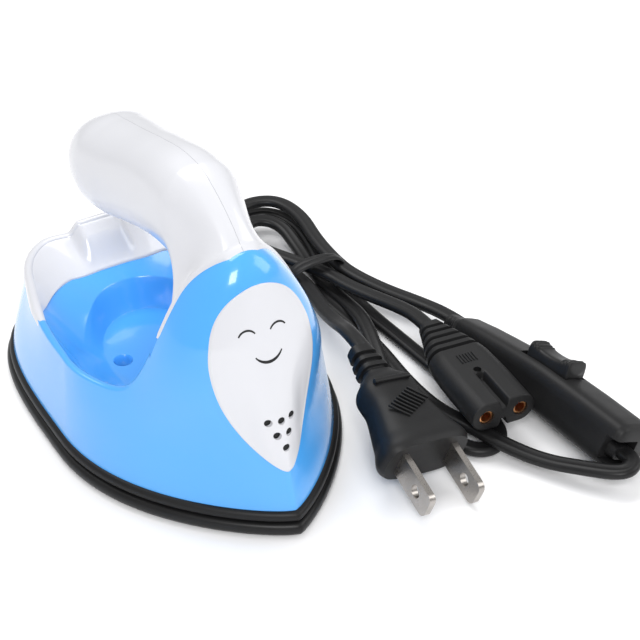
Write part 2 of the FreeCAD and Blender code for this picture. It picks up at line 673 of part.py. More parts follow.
def make_hank():
    """Outer form of the folded hank: thick behind, drawn in at the tie."""
    sections = [(17.0, 50.6, 14.4, 8.6), (24.0, 49.8, 13.0, 9.0), (34.0, 49.8, 18.0, 11.0),
                (46.0, 49.6, 24.0, 12.0), (56.0, 48.6, 25.0, 11.0), (61.0, 47.6, 19.0, 8.0)]
    wires = []
    for y, x, wide, high in sections:
        points = []
        for i in range(16):
            turn = 2 * math.pi * (i + 0.5) / 16
            c, s = math.cos(turn), math.sin(turn)
            px = x + wide / 2 * math.copysign(abs(c) ** 0.7, c)
            points.append(V(px, y, 0.3 + high / 2 + high / 2 * math.copysign(abs(s) ** 0.7, s)))
        wires.append(smooth_loop(points))
    return loft(wires)


def make_tie(hank):
    band = Part.makeBox(40, 4.0, 30, V(30, 21.0, -5))
    outer = hank.common(band)
    grown = outer.copy()
    scale = FreeCAD.Matrix()
    scale.scale(V(1.09, 1.0, 1.0))
    grown = grown.transformGeometry(scale)
    grown.translate(V(-49.9 * 0.09, 0, 0))
    taller = FreeCAD.Matrix()
    taller.scale(V(1.0, 1.0, 1.08))
    grown = grown.transformGeometry(taller)
    return largest(grown.cut(hank))


def main():
    os.makedirs("parts", exist_ok=True)
    save("sole_plate", make_sole())
    save("base_skirt", make_skirt())
    save("skirt_screws", *[screw(x, y, 1.0, SKIRT_TOP, 1.2, 2.3, 1.3) for x, y in SKIRT_SCREWS])
    save("heating_element", make_heater())
    save("heater_clamp", make_clamp_plate())
    save("clamp_screws", *[screw(x, y, 1.0, SOLE_TOP + 3.0, 1.3, 2.6, 1.4) for x, y in CLAMP_SCREWS])
    save("insulation_sheet", make_insulation())
    save("thermostat", make_thermostat())
    save("thermostat_bracket", make_thermostat_bracket())
    save("thermal_fuse", make_thermal_fuse())
    save("internal_wires", *make_internal_wires())

    shell, cover, above = make_shell_and_cover()
    panel = make_panel()
    shell = fit_shell(shell).cut(panel_prism(0.08).common(outer_form(-1.0).cut(outer_form(1.35))))
    save("body_shell", largest(shell))
    save("face_panel", panel)
    save("dish_screws", *[screw(x, y, 1.0, POCKET_FLOOR - 1.2, 1.4, 2.6, 1.2) for x, y in DISH_SCREWS])
    inlet_hole = Part.makeBox(17.2, 20, 10.8, V(-8.6, 39, INLET_Z - 5.4))
    save("rear_cover", largest(cover.cut(inlet_hole)))
    save("inlet_socket", make_inlet())
    save("inlet_pins", *make_inlet_pins())
    left, right = make_handle(above)
    save("handle_left", left)
    save("handle_right", right)
    save("handle_screws", *[side_screw(y, z) for y, z in HANDLE_SCREWS])

    save("connector_body", placed(make_connector(), *CONNECTOR))
    save("connector_contacts", *[placed(s, *CONNECTOR) for s in make_connector_contacts()])
    relief = strain_relief(-CONNECTOR_LONG - 6, 6.5, 9.0, 6.0, 5.4, 4.4, 3)
    save("connector_relief", placed(relief, *CONNECTOR))
    lower, upper = make_switch()
    save("switch_lower", placed(lower, *SWITCH))
    save("switch_upper", placed(upper, *SWITCH))
    save("switch_rocker", placed(make_rocker(), *SWITCH))
    save("rocker_pin", placed(cylinder(0.8, 9.2, (ROCKER_AT, -4.6, 3.2), ALONG), *SWITCH))
    screws = []
    for x in SWITCH_SCREWS:
        body = cylinder(1.0, 6.0, (x, 0, -5.5)).fuse(cylinder(2.0, 1.2, (x, 0, -5.2 - 1.2)))
        screws.append(placed(body, *SWITCH))
    save("switch_screws", *screws)
    relief_in = strain_relief(-SWITCH_LONG, 3.6, 6.4, 6.0, 5.0, 4.6, 1)
    relief_out = strain_relief(0.0, 2.6, 6.4, 6.0, 5.0, 4.6, 1)
    relief_out = relief_out.mirror(V(0, 0, 0), V(1, 0, 0))
    save("switch_reliefs", placed(relief_in, *SWITCH), placed(relief_out, *SWITCH))
    save("plug_body", placed(make_plug(), *PLUG))
    save("plug_blades", *[placed(s, *PLUG) for s in make_blades()])
    save("plug_relief", placed(strain_relief(-PLUG_LONG, 9.0, 9.0, 7.6, 5.4, 4.6, 3), *PLUG))
    hank = make_hank()
    save("lead_hank", hank)
    save("hank_tie", make_tie(hank))
    save("cord_connector", tube(ROUTE_CONNECTOR, CORD_R, "connector"))
    save("cord_switch_in", tube(ROUTE_SWITCH_IN, CORD_R, "switch in"))
    save("cord_switch_out", tube(ROUTE_SWITCH_OUT, CORD_R, "switch out"))
    save("cord_bight", tube(ROUTE_BIGHT, CORD_R, "bight"))
    save("cord_plug", tube(ROUTE_PLUG, CORD_R, "plug"))


main()
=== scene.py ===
import math

import bmesh
import bpy
import numpy as np
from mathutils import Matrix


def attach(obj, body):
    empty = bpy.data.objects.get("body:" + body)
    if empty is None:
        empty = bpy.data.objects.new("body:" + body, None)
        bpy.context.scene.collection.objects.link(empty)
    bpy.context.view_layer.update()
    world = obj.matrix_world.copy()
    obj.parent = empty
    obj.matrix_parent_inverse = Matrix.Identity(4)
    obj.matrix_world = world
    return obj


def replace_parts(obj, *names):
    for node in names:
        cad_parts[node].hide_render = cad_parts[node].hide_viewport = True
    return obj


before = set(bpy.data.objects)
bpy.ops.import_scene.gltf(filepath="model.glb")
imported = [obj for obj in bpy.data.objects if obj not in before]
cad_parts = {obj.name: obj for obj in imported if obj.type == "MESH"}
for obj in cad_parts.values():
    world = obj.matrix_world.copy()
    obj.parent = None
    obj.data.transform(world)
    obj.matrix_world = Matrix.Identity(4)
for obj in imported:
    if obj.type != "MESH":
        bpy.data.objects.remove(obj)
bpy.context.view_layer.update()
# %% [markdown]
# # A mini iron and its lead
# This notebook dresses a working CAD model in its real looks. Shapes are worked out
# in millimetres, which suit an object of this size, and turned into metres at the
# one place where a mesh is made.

MM = 0.001


def add_object(name, data):
    """A new object in the scene."""
    made = bpy.data.objects.new(name, data)
    bpy.context.scene.collection.objects.link(made)
    return made


def evaluated_mesh(thing):
    """The mesh that a curve makes, or that a piece has after its modifiers."""
    bpy.context.view_layer.update()
    return bpy.data.meshes.new_from_object(thing.evaluated_get(bpy.context.evaluated_depsgraph_get()))


# %% [markdown]
# ## The camera
# The object is seen from a little above and to one side. The camera is placed by
# where it aims, how far away it stands and two angles, so the numbers can be read.

# %% Camera
AIM = np.array([29.66, -12.17, 20.0])
DISTANCE = 326.8
TURN, TILT = math.radians(-32.0), math.radians(35.46)
BACKWARDS = np.array([math.sin(TURN) * math.cos(TILT), -math.cos(TURN) * math.cos(TILT), math.sin(TILT)])
camera_data = bpy.data.cameras.new("camera")
camera_data.lens = 80.0
camera_data.sensor_width = 36.0
camera_data.clip_start = 0.01
camera = add_object("camera", camera_data)
camera.location = (AIM + BACKWARDS * DISTANCE) * MM
camera.rotation_euler = (math.pi / 2 - TILT, 0.0, TURN)
bpy.context.scene.camera = camera
print("camera at", [round(v, 4) for v in camera.location])

# %% [markdown]
# ## From numbers to meshes
# Every new piece is one or more grids of points. The helpers number the quads of a grid,
# join grids along their shared edges and put the result on a body. Joining merges equal
# points, so seams and poles close. A few curves used all over follow them.


# %% Mesh helpers
def grid_faces(rows, columns, wrap=False):
    """Quads of a grid of rows x columns points; wrap joins the last column to the first."""
    r = np.arange(rows - 1)[:, None]
    c = np.arange(columns if wrap else columns - 1)[None, :]
    a = r * columns + c
    b = r * columns + (c + 1) % columns
    return np.stack([a, b, b + columns, a + columns], -1).reshape(-1, 4)


def join_grids(grids):
    """Stack several (points, wrap) grids into one list of points and one of quads."""
    points, faces, start = [], [], 0
    for grid, wrap in grids:
        rows, columns = grid.shape[:2]
        points.append(grid.reshape(-1, 3))
        faces.append(grid_faces(rows, columns, wrap) + start)
        start += rows * columns
    return np.concatenate(points), np.concatenate(faces)


def welded_mesh(name, grids, merge):
    """A closed mesh from grids in millimetres: equal points become one, faces turn outwards."""
    points, faces = join_grids(grids)
    mesh = bpy.data.meshes.new(name)
    mesh.from_pydata((points * MM).tolist(), [], faces.tolist())
    work = bmesh.new()
    work.from_mesh(mesh)
    bmesh.ops.remove_doubles(work, verts=work.verts, dist=merge * MM)
    bmesh.ops.dissolve_degenerate(work, edges=work.edges, dist=merge * 0.5 * MM)
    bmesh.ops.recalc_face_normals(work, faces=work.faces)
    work.to_mesh(mesh)
    work.free()
    return mesh


def make_piece(name, grids, body, material, crease=40.0, merge=0.002):
    """One object from grids; crease is the angle past which an edge stays sharp."""
    mesh = welded_mesh(name, grids, merge)
    mesh.shade_smooth()
    mesh.set_sharp_from_angle(angle=math.radians(crease))
    mesh.materials.append(material)
    piece = add_object(name, mesh)
    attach(piece, body)
    print(f"{name}: {len(mesh.polygons)} faces")
    return piece


def capped(rings):
    """Add a middle point at each end of a stack of rings, so that its ends are closed."""
    first, last = (np.zeros_like(ring) + ring.mean(1, keepdims=True) for ring in (rings[:1], rings[-1:]))
    return np.concatenate([first, rings, last])


def spun(profile, middle, axis, steps=32):
    """A turned shape: profile is (radius, distance along the axis) pairs, axis 0, 1 or 2."""
    ring = np.linspace(0, 2 * np.pi, steps, endpoint=False)
    circle = np.insert(np.stack([np.cos(ring), np.sin(ring)], 1), axis, 0.0, axis=1)
    return np.stack([circle * r + np.array(middle) + np.eye(3)[axis] * d for r, d in profile]), True


def smooth_step(low, high, value):
    """0 below low, 1 above high, and an even S between."""
    share = np.clip((value - low) / (high - low), 0.0, 1.0)
    return share * share * (3 - 2 * share)


def hermite(t, start, leave, end, arrive):
    """The cubic from start to end with the given slopes, at t from 0 to 1."""
    return ((2 * t**3 - 3 * t**2 + 1) * start + (t**3 - 2 * t**2 + t) * leave
            + (3 * t**2 - 2 * t**3) * end + (t**3 - t**2) * arrive)


def smooth_through(keys, values, at):
    """A smooth curve through the given values: a cubic on each stretch."""
    keys, values, at = np.asarray(keys, float), np.asarray(values, float), np.asarray(at, float)
    slopes = np.gradient(values, keys)
    spot = np.clip(np.searchsorted(keys, at) - 1, 0, len(keys) - 2)
    gap = keys[spot + 1] - keys[spot]
    return hermite((at - keys[spot]) / gap, values[spot], gap * slopes[spot], values[spot + 1],
                   gap * slopes[spot + 1])


def signed_power(value, power):
    """A power that keeps the sign; it squares up or rounds off a sine."""
    return np.sign(value) * np.abs(value) ** power


def mirror(grid):
    """The same grid on the other side of the middle plane, its columns turned round."""
    return grid[:, ::-1] * np.array([-1.0, 1.0, 1.0])


def both_halves(half_grids):
    """Open grids drawn on the right, with their mirror images."""
    return [(grid, False) for grid in half_grids] + [(mirror(grid), False) for grid in half_grids]


# %% [markdown]
# ## Shader maths as plain expressions
# A node tree is easier to read as a formula. The small class below wraps a socket, so
# that adding to it or multiplying it makes the Math node that does so.


# %% Shader helper
class Value:
    """A number that varies over a surface, for use with + and *."""

    def __init__(self, tree, socket):
        self.tree, self.socket = tree, socket

    def _math(self, operation, first, second):
        node = self.tree.nodes.new("ShaderNodeMath")
        node.operation = operation
        for place, item in enumerate((first, second)):
            if isinstance(item, Value):
                self.tree.links.new(item.socket, node.inputs[place])
            else:
                node.inputs[place].default_value = item
        return Value(self.tree, node.outputs[0])

    def __add__(self, other):
        return self._math("ADD", self, other)

    def __mul__(self, other):
        return self._math("MULTIPLY", self, other)


class Finish:
    """One material: its principled shader, and a method that adds any other node."""

    def __init__(self, name, **constants):
        self.material = bpy.data.materials.new(name)
        self.material.use_nodes = True
        self.tree = self.material.node_tree
        self.shader = self.tree.nodes["Principled BSDF"]
        self.place = Value(self.tree, self.tree.nodes.new("ShaderNodeTexCoord").outputs["Object"])
        for socket, value in constants.items():
            self.shader.inputs[socket.replace("_", " ")].default_value = value

    def node(self, kind, **inputs):
        """Any other node, its inputs linked or set by name."""
        made = self.tree.nodes.new(kind)
        for key, value in inputs.items():
            socket = made.inputs[key.replace("_", " ")]
            if isinstance(value, Value):
                self.tree.links.new(value.socket, socket)
            else:
                socket.default_value = value
        return Value(self.tree, made.outputs[0])

    def noise(self, size_mm, detail, rough=0.5):
        """Cloudy noise whose patches are about size_mm across."""
        return self.node("ShaderNodeTexNoise", Vector=self.place, Scale=1000.0 / size_mm,
                         Detail=detail, Roughness=rough)

    def set(self, **links):
        for socket, value in links.items():
            self.tree.links.new(value.socket, self.shader.inputs[socket.replace("_", " ")])

    def tint(self, factor, low, high):
        """Colour between low and high by factor."""
        mix = self.tree.nodes.new("ShaderNodeMix")
        mix.data_type = "RGBA"
        self.tree.links.new(factor.socket, mix.inputs[0])
        mix.inputs[6].default_value = (*low, 1.0)
        mix.inputs[7].default_value = (*high, 1.0)
        return Value(self.tree, mix.outputs[2])

    def bump(self, height, depth_mm, strength):
        return self.node("ShaderNodeBump", Strength=strength, Distance=depth_mm * MM, Height=height)


# %% [markdown]
# ## Finishes
# Moulded plastic is never one flat colour: the tone drifts a little over the part, the
# gloss is uneven where hands and trays have rubbed it, and the skin has a faint orange
# peel. Each finish below is that idea at its own scale.


# %% Plastics
def glossy_plastic(name, low, high, roughness, coat):
    finish = Finish(name, Coat_Weight=coat, Coat_Roughness=0.06, IOR=1.5)
    drift = finish.noise(38.0, 2.0)
    rubbed = finish.noise(9.0, 4.0, 0.6)
    peel = finish.noise(1.3, 2.0)
    finish.set(Base_Color=finish.tint(drift, low, high),
               Roughness=rubbed * 0.10 + (roughness - 0.05),
               Normal=finish.bump(peel, 0.012, 0.35))
    return finish.material


def satin_black(name, tone, roughness, grain_mm, depth_mm):
    """Moulded black with a fine spark-eroded grain and dusty, slightly paler patches."""
    finish = Finish(name, IOR=1.42, Specular_IOR_Level=0.36)
    dust = finish.noise(7.0, 4.0, 0.65)
    grain = finish.noise(grain_mm, 2.0)
    low = (tone, tone, tone * 1.05)
    high = (tone * 1.9, tone * 1.9, tone * 2.0)
    finish.set(Base_Color=finish.tint(dust, low, high),
               Roughness=dust * 0.16 + (roughness - 0.06),
               Normal=finish.bump(grain, depth_mm, 0.6))
    return finish.material


def plain_metal(name, low, high, roughness, brush_mm):
    """Metal with fine parallel wear and a slightly uneven tone."""
    finish = Finish(name, Metallic=1.0)
    tone = finish.noise(4.0, 3.0)
    scratch = finish.noise(brush_mm, 4.0, 0.7)
    finish.set(Base_Color=finish.tint(tone, low, high),
               Roughness=scratch * 0.18 + (roughness - 0.08),
               Normal=finish.bump(scratch, 0.01, 0.4))
    return finish.material


BLUE = glossy_plastic("blue_gloss", (0.062, 0.350, 0.84), (0.078, 0.385, 0.88), 0.20, 0.6)
WHITE = glossy_plastic("white_gloss", (0.60, 0.605, 0.64), (0.65, 0.655, 0.685), 0.24, 0.5)
SOLE_BLACK = satin_black("sole_coating", 0.006, 0.36, 0.5, 0.015)
SKIRT_BLACK = satin_black("skirt_black", 0.0055, 0.44, 0.35, 0.02)
CORD_BLACK = satin_black("cord_black", 0.0055, 0.40, 0.3, 0.012)
FITTING_BLACK = satin_black("fitting_black", 0.0065, 0.46, 0.28, 0.03)
MARK_BLACK = satin_black("mark_black", 0.012, 0.5, 0.4, 0.01)
# Black for the plugs in the vent holes: painted shade that stands for the dark depth of the holes.
VENT_SHADE_BLACK = satin_black("vent_painted_shade", 0.006, 0.6, 0.4, 0.01)
NICKEL = plain_metal("blade_nickel", (0.34, 0.32, 0.30), (0.50, 0.47, 0.44), 0.28, 0.25)
COPPER = plain_metal("contact_copper", (0.80, 0.36, 0.14), (0.92, 0.48, 0.22), 0.30, 0.3)
STEEL = plain_metal("zinc_steel", (0.58, 0.58, 0.60), (0.70, 0.70, 0.72), 0.32, 0.2)
print("finishes:", len(bpy.data.materials))

# %% [markdown]
# ## The cord's two lengths
# The lead is a flat twin cord in two lengths: connector to switch, and switch to plug.
# Each is one smooth curve through a listed route that passes through the folded
# hank, close to the line of the CAD tubes. The section is then carried along
# the curve: two round cores side by side with a shallow groove between them.

# %% Cord sizes and routes
CORD_WIDE, CORD_THICK = 4.0, 2.5

TO_CONNECTOR = [(58.1, -16.1, 9.4), (58.7, -10.8, 9.2), (58.2, -4, 8.2), (56, 5, 7),
                (53.6, 13, 6.6), (52.4, 20, 6.6)]
TO_SWITCH_IN = [(69.6, -15.4, 5), (69.2, -9, 4.8), (66.4, -0.6, 4.6), (61.8, 7, 5.4),
                (58.2, 14.6, 6.4), (56.9, 21.5, 6.6)]
TO_SWITCH_OUT = [(69.5, -70.6, 6), (70.4, -75, 6), (68.3, -77.4, 5.8), (65, -77, 5.4),
                 (60.8, -70.6, 4), (56, -63, 2.6), (51.6, -54.6, 3.2), (48.6, -46.4, 4.2),
                 (47.2, -35, 1.8), (47.4, -22, 1.5), (49.2, -9, 1.5), (49.6, 5, 1.6),
                 (49, 19, 1.8)]
BIGHT = [(55.8, 19, 2.2), (55.4, 6, 1.6), (56, -8, 1.5), (56.4, -22, 1.5),
         (56.6, -35, 1.5), (56.2, -44, 1.5), (54.6, -49.4, 1.5), (50.6, -52.6, 1.5),
         (46.4, -51.4, 1.5), (43.8, -45.6, 1.5), (43, -35, 1.5), (43.2, -21, 1.5),
         (46.8, -10, 4), (51, 2, 4.2), (52.4, 12, 2.6), (52.4, 20, 2.2)]
TO_PLUG = [(35, -22, 16), (36, -15, 16), (38.4, -6, 12), (41.2, 3, 8.2),
           (43.8, 12, 6.4), (45.4, 20, 6)]


# %% Following a route
def follow(name, route):
    """Points along the smooth curve that has the route as its control points."""
    data = bpy.data.curves.new(name, "CURVE")
    data.dimensions = "3D"
    spline = data.splines.new("NURBS")
    spline.points.add(len(route) - 1)
    for point, place in zip(spline.points, route):
        point.co = (*(c * MM for c in place), 1.0)
    spline.order_u = 3
    spline.use_endpoint_u = True
    spline.resolution_u = 14
    holder = add_object(name, data)
    line = evaluated_mesh(holder)
    flat = np.zeros(len(line.vertices) * 3)
    line.vertices.foreach_get("co", flat)
    bpy.data.objects.remove(holder)
    bpy.data.meshes.remove(line)
    return flat.reshape(-1, 3) / MM


def carry(path, section, upright=(0.0, 0.0, 1.0)):
    """Carry a section (sideways, up) along a path: each ring lies square to it, its side level."""
    ahead = np.gradient(path, axis=0)
    ahead /= np.linalg.norm(ahead, axis=1, keepdims=True)
    side = np.cross(np.array(upright), ahead)
    side /= np.maximum(np.linalg.norm(side, axis=1, keepdims=True), 1e-6)
    up = np.cross(ahead, side)
    wide, high = section[None, :, :1], section[None, :, 1:]
    return path[:, None, :] - side[:, None, :] * wide + up[:, None, :] * high


def twin_section(wide, thick, steps=28):
    """Two round cores side by side: an oval whose height dips at the middle."""
    turn = np.linspace(0, 2 * np.pi, steps, endpoint=False)
    x = wide / 2 * signed_power(np.cos(turn), 0.8)
    dip = 1 - 0.22 * np.exp(-((x / (wide * 0.12)) ** 2))
    y = thick / 2 * signed_power(np.sin(turn), 0.8) * dip
    return np.stack([x, y], 1)


def path_length(path):
    return float(np.linalg.norm(np.diff(path, axis=0), axis=1).sum())


# %% [markdown]
# ### Loops of the hank
# The cord runs through the tie and back again in long loops that fan out behind it.
# Each loop has a width, a length and a height on the pile of its own.

# %% Loops
LOOP_TOP = [(47.6, 30, 6.8), (41.6, 40, 7.8), (41.6, 50, 8.4), (46, 57.2, 8.8), (52.6, 58.6, 8.8),
            (58.6, 55.4, 8.6), (60, 46, 8.2), (57.4, 34, 7.4)]
LOOP_OUTER = [(47, 28, 2.4), (41.2, 38, 2.4), (38.6, 47, 3.8), (42, 56, 4.8), (48.6, 59, 5),
              (56.4, 57.4, 5), (59.6, 48, 4.8), (58.4, 38, 4.2), (55.6, 28, 3.2)]
LOOP_INNER = [(52.8, 29, 3), (54.6, 38, 3.6), (55.3, 49, 5.8), (49, 53.3, 7), (42.7, 49.4, 6.8),
              (42.6, 39, 5.6), (45.2, 29, 5.6)]

CORD_A_ROUTE = TO_CONNECTOR + LOOP_TOP + TO_SWITCH_IN[::-1]
CORD_B_ROUTE = TO_SWITCH_OUT + LOOP_OUTER + BIGHT + LOOP_INNER + TO_PLUG[::-1]


# %% Making the two cords
def make_cord(name, route):
    path = follow(name, route)
    rings = carry(path, twin_section(CORD_WIDE, CORD_THICK))
    piece = make_piece(name, [(capped(rings), True)], "lead", CORD_BLACK, 60, 0.004)
    print(f"{name}: {path_length(path):.0f} mm long")
    return piece, path


cord_a, path_a = make_cord("cord_connector_to_switch", CORD_A_ROUTE)
cord_b, path_b = make_cord("cord_switch_to_plug", CORD_B_ROUTE)
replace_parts(cord_a, "cord_connector", "cord_switch_in", "lead_hank")
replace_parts(cord_b, "cord_switch_out", "cord_bight", "cord_plug")

# %% [markdown]
# ## The iron's outer form
# One formula gives the outline at any height. Low down it is a sole outline: a sine
# from the nose to the widest point and a rounded square behind. Higher up the front
# turns into a dome whose width falls as the square root of the height left. The two
# are blended between two heights, so no ledge shows.

# %% Outer form
SOLE_LONG, SOLE_WIDE = 105.0, 66.2
SKIRT_TOP, RIM, PEAK = 5.6, 24.8, 59.3
WIDEST, NOSE_POWER, REAR_POWER = 0.479, 0.789, 3.3
FLARE_TOP = 36.0
ARCH_SPREAD = 3.85


def sole_outline(s, long, wide, nose):
    """s runs 0..1 from the nose to the widest point (sine), then 1..2 to the rear (rounded square)."""
    front = np.clip(s, 0.0, 1.0)
    back = np.clip(s - 1.0, 0.0, 1.0) * np.pi / 2
    x = np.where(s <= 1, wide / 2 * np.sin(np.pi / 2 * front),
                 wide / 2 * np.cos(back).clip(0) ** (2 / REAR_POWER))
    share = np.where(s <= 1, WIDEST * front ** (1 / NOSE_POWER),
                     WIDEST + (1 - WIDEST) * np.sin(back) ** (2 / REAR_POWER))
    return x, nose + long * share


def nose_y(z):
    return -50.2 + 0.29 * (z - SKIRT_TOP) + 0.09 * np.maximum(z - 54.0, 0.0) ** 2


def arch_y(z):
    """The arch where blue meets white: nearly upright, leaning forward at the top."""
    return -24.2 - 0.1 * (np.maximum(z, FLARE_TOP - 1) - 35.0) - 0.045 * np.maximum(z - 50.0, 0.0) ** 2


def arch_half(z):
    return ARCH_SPREAD * np.sqrt(np.maximum(PEAK - z, 0.0))


def ends_y(z):
    """The low outline's nose and rear at a height."""
    return nose_y(np.minimum(z, 45.0)), 51.0 - 0.18 * (z - SKIRT_TOP)


def low_form(s, z):
    """The blended sole outline; higher up the rear draws in and its middle steps forward."""
    nose, rear = ends_y(z)
    x, y = sole_outline(s, rear - nose, 2 * (31.2 - 0.12 * (z - SKIRT_TOP)), nose)
    up = smooth_step(4.0, 26.0, z)
    x = x * (1 - 0.105 * up * smooth_step(0.95, 1.35, s))
    forward = 2.6 * up * smooth_step(1.55, 1.8, s) * (1 - smooth_step(4.0, 15.0, x))
    return x, y - forward


def s_at_arch(z):
    """Where the low outline passes the arch's plane."""
    nose, rear = ends_y(z)
    return ((arch_y(z) - nose) / (rear - nose) / WIDEST) ** NOSE_POWER


def front_form(t, z):
    """t runs 0..1 from the nose to the arch's edge."""
    low_x, low_y = low_form(s_at_arch(z) * t, z)
    power = 0.70 - 0.30 * np.clip((z - 25.0) / 18.0, 0.0, 1.0)
    dome_x = arch_half(z) * np.sin(np.pi / 2 * t)
    dome_y = nose_y(z) + (arch_y(z) - nose_y(z)) * t ** (1 / power)
    share = smooth_step(16.0, 38.0, z)
    return low_x + (dome_x - low_x) * share, low_y + (dome_y - low_y) * share


def side_form(k, z):
    """k runs 0..1 from the arch's plane round the side to the rear's middle."""
    start = s_at_arch(z)
    low_x, low_y = low_form(start + (2 - start) * k, z)
    share = smooth_step(16.0, 38.0, z) * (1 - smooth_step(0.02, 0.25, k))
    return low_x + (arch_half(z) - low_x) * share, low_y


def rim_height(y):
    """The side wall's top edge: level, then sweeping up into the arch."""
    return RIM + (FLARE_TOP - RIM) * np.exp(-(y + 24.2) / 2.35).clip(0, 1)


# %% [markdown]
# ## The blue shell
# The shell is one closed skin: the outer wall, a rolled rim, the finger dish with its
# step under the rear cover, and the wall behind the arch. The dish is drawn as lines
# that run from the rim down to an oval floor, and behind they pass over a step first.

# %% Shell grids
FLOOR_Z, STEP_Z, DISH_Y = 9.5, 17.0, 12.0
RIM_WIDE, ROLL_STEPS, WALL_COLUMNS = 1.7, 8, 26
v_flare = 1 - math.sqrt((PEAK - FLARE_TOP) / (PEAK - SKIRT_TOP))
z_low, z_high = (PEAK - (PEAK - SKIRT_TOP) * (1 - v) ** 2
                 for v in (np.linspace(0, v_flare, 34), np.linspace(v_flare, 1, 60)))


def front_grid(z_rows):
    t, z = np.meshgrid(np.linspace(0, 1, 56), z_rows)
    x, y = front_form(t, z)
    return np.stack([x, y, z], -1)


def side_grid():
    k = np.linspace(0, 1, 110) ** 1.25
    nominal_y = side_form(k, np.full_like(k, RIM))[1]
    top = rim_height(nominal_y)
    z = SKIRT_TOP + (z_low[:, None] - SKIRT_TOP) * (top[None, :] - SKIRT_TOP) / (FLARE_TOP - SKIRT_TOP)
    x, y = side_form(np.broadcast_to(k, z.shape), z)
    x = np.where(k[None, :] >= 1, 0.0, x)
    return np.stack([x, y, z], -1)


def rolled(line):
    """Rows that roll over the rim: inwards by its width, rising and falling as a half round."""
    towards = np.array([0.0, DISH_Y, 0.0]) - line
    towards[:, 2] = 0
    towards /= np.linalg.norm(towards, axis=1, keepdims=True)
    turn = np.linspace(0, np.pi, ROLL_STEPS)[1:, None, None]
    return line + towards * RIM_WIDE / 2 * (1 - np.cos(turn)) + np.array([0, 0, 0.45]) * np.sin(turn)


outer_right = side_grid()
rim_line = outer_right[-1]
rim_roll = rolled(rim_line)
inner_line = rim_roll[-1]

# %% [markdown]
# The dish's lines start from the inner edge of the rim. In front the loop is closed by
# a line across the wall behind the arch, so the dish is one ring of lines.

# %% Dish
def line_across(corner, z):
    """A level line from the corner's mirror image to the corner, at a height."""
    x = np.linspace(-corner[0], corner[0], WALL_COLUMNS)
    return np.stack([x, np.full_like(x, corner[1]), np.full_like(x, z)], 1)


front_line = line_across(inner_line[0], inner_line[0, 2])
loop = np.concatenate([inner_line, mirror(inner_line[None])[0][1:], front_line[1:-1]])


def dish_lines(start, reach):
    """Points on lines from the rim (reach 0) to the oval floor (reach 1), stepped at the rear."""
    bearing = np.arctan2((start[:, 1] - DISH_Y) / 1.25, start[:, 0])
    cos, sin = np.cos(bearing), np.sin(bearing)
    floor = np.stack([12.8 * cos, DISH_Y - 1 + 17.0 * sin, np.full_like(cos, FLOOR_Z)], 1)
    step = np.stack([14.6 * cos, DISH_Y + 19.2 * sin, np.full_like(cos, STEP_Z)], 1)
    a = reach[:, None, None]
    plain = start + (floor - start) * a
    hang = 1.5 + 0.8 * np.clip(-sin, 0, 1)
    plain[..., 2] = FLOOR_Z + (start[:, 2] - FLOOR_Z) * (1 - reach[:, None]) ** hang
    first = np.clip(a / 0.62, 0, 1)
    second = np.clip((a - 0.62) / 0.38, 0, 1)
    stepped = start + (step - start) * first + (floor - step) * second
    fall = smooth_step(0.0, 1.0, second[..., 0]) * 0.35 + second[..., 0] * 0.65
    stepped[..., 2] = (start[:, 2] + (STEP_Z - start[:, 2]) * first[..., 0] ** 1.1
                       + (FLOOR_Z - STEP_Z) * fall)
    behind = smooth_step(0.10, 0.75, sin)[None, :, None]
    return plain + (stepped - plain) * behind


reach_rows = np.concatenate([np.linspace(0, 0.60, 22), [0.612, 0.622, 0.634, 0.65], np.linspace(0.68, 1, 14)])
dish = dish_lines(loop, reach_rows)
floor_share = np.linspace(1, 0, 9)[1:, None, None]
floor_middle = np.array([0.0, DISH_Y - 1, FLOOR_Z])
dish_floor = floor_middle + (dish[-1] - floor_middle) * floor_share

# %% Shell assembled
front_low, front_high = front_grid(z_low), front_grid(z_high)
back_wall = np.stack([line_across(corner, corner[2]) for corner in front_high[:, -1]])
base_right = np.concatenate([front_low[0], outer_right[0][1:]])
base_cap = np.stack([base_right, np.zeros_like(base_right) + [0, 0, SKIRT_TOP]])
lip = np.stack([front_line, line_across(rim_line[0], FLARE_TOP)])
rim_rows = np.concatenate([rim_line[None], rim_roll])
grids = both_halves([front_low, front_high, outer_right, rim_rows, base_cap])
grids += [(dish, True), (np.concatenate([dish[-1:], dish_floor]), True), (back_wall, False), (lip, False)]
shell = make_piece("blue_shell", grids, "iron", BLUE, crease=50, merge=0.02)
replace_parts(shell, "body_shell")

# %% [markdown]
# The floor of the dish has two deep screw holes. They are blind holes cut with a
# Boolean, and a small domed head lies at the bottom of each.

# %% Screw holes
HOLES = [(-10.0, 11.0), (10.0, 11.0)]


def carve(piece, grids, crease=50):
    """Cut closed grids out of a piece with an exact Boolean, and keep the result as its mesh."""
    tool = add_object("tool", welded_mesh("tool", grids, 0.001))
    cut = piece.modifiers.new("cut", "BOOLEAN")
    cut.operation, cut.object, cut.solver = "DIFFERENCE", tool, "EXACT"
    result = evaluated_mesh(piece)
    piece.modifiers.clear()
    piece.data = result
    result.set_sharp_from_angle(angle=math.radians(crease))
    bpy.data.objects.remove(tool)
    print(f"{piece.name}: {len(result.polygons)} faces after cutting")


WELL = [(0, 14.0), (3.0, 14.0), (2.6, 9.9), (1.9, 8.9), (1.9, 6.2), (0, 6.2)]
HEAD = [(0, 7.0), (0.9, 6.9), (1.5, 6.6), (1.7, 6.2), (0, 6.2)]
carve(shell, [spun(WELL, (x, y, 0), 2) for x, y in HOLES])
heads = make_piece("dish_screw_heads", [spun(HEAD, (x, y, 0), 2) for x, y in HOLES], "iron",
                   STEEL)
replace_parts(heads, "dish_screws")

# %% [markdown]
# ## Sole and skirt
# The sole is a cast plate with a rolled lip; above it a black skirt stands back a
# little and carries the blue shell. Both are outlines of the same form at different
# insets, so one list of (inset, height) pairs describes the whole profile.


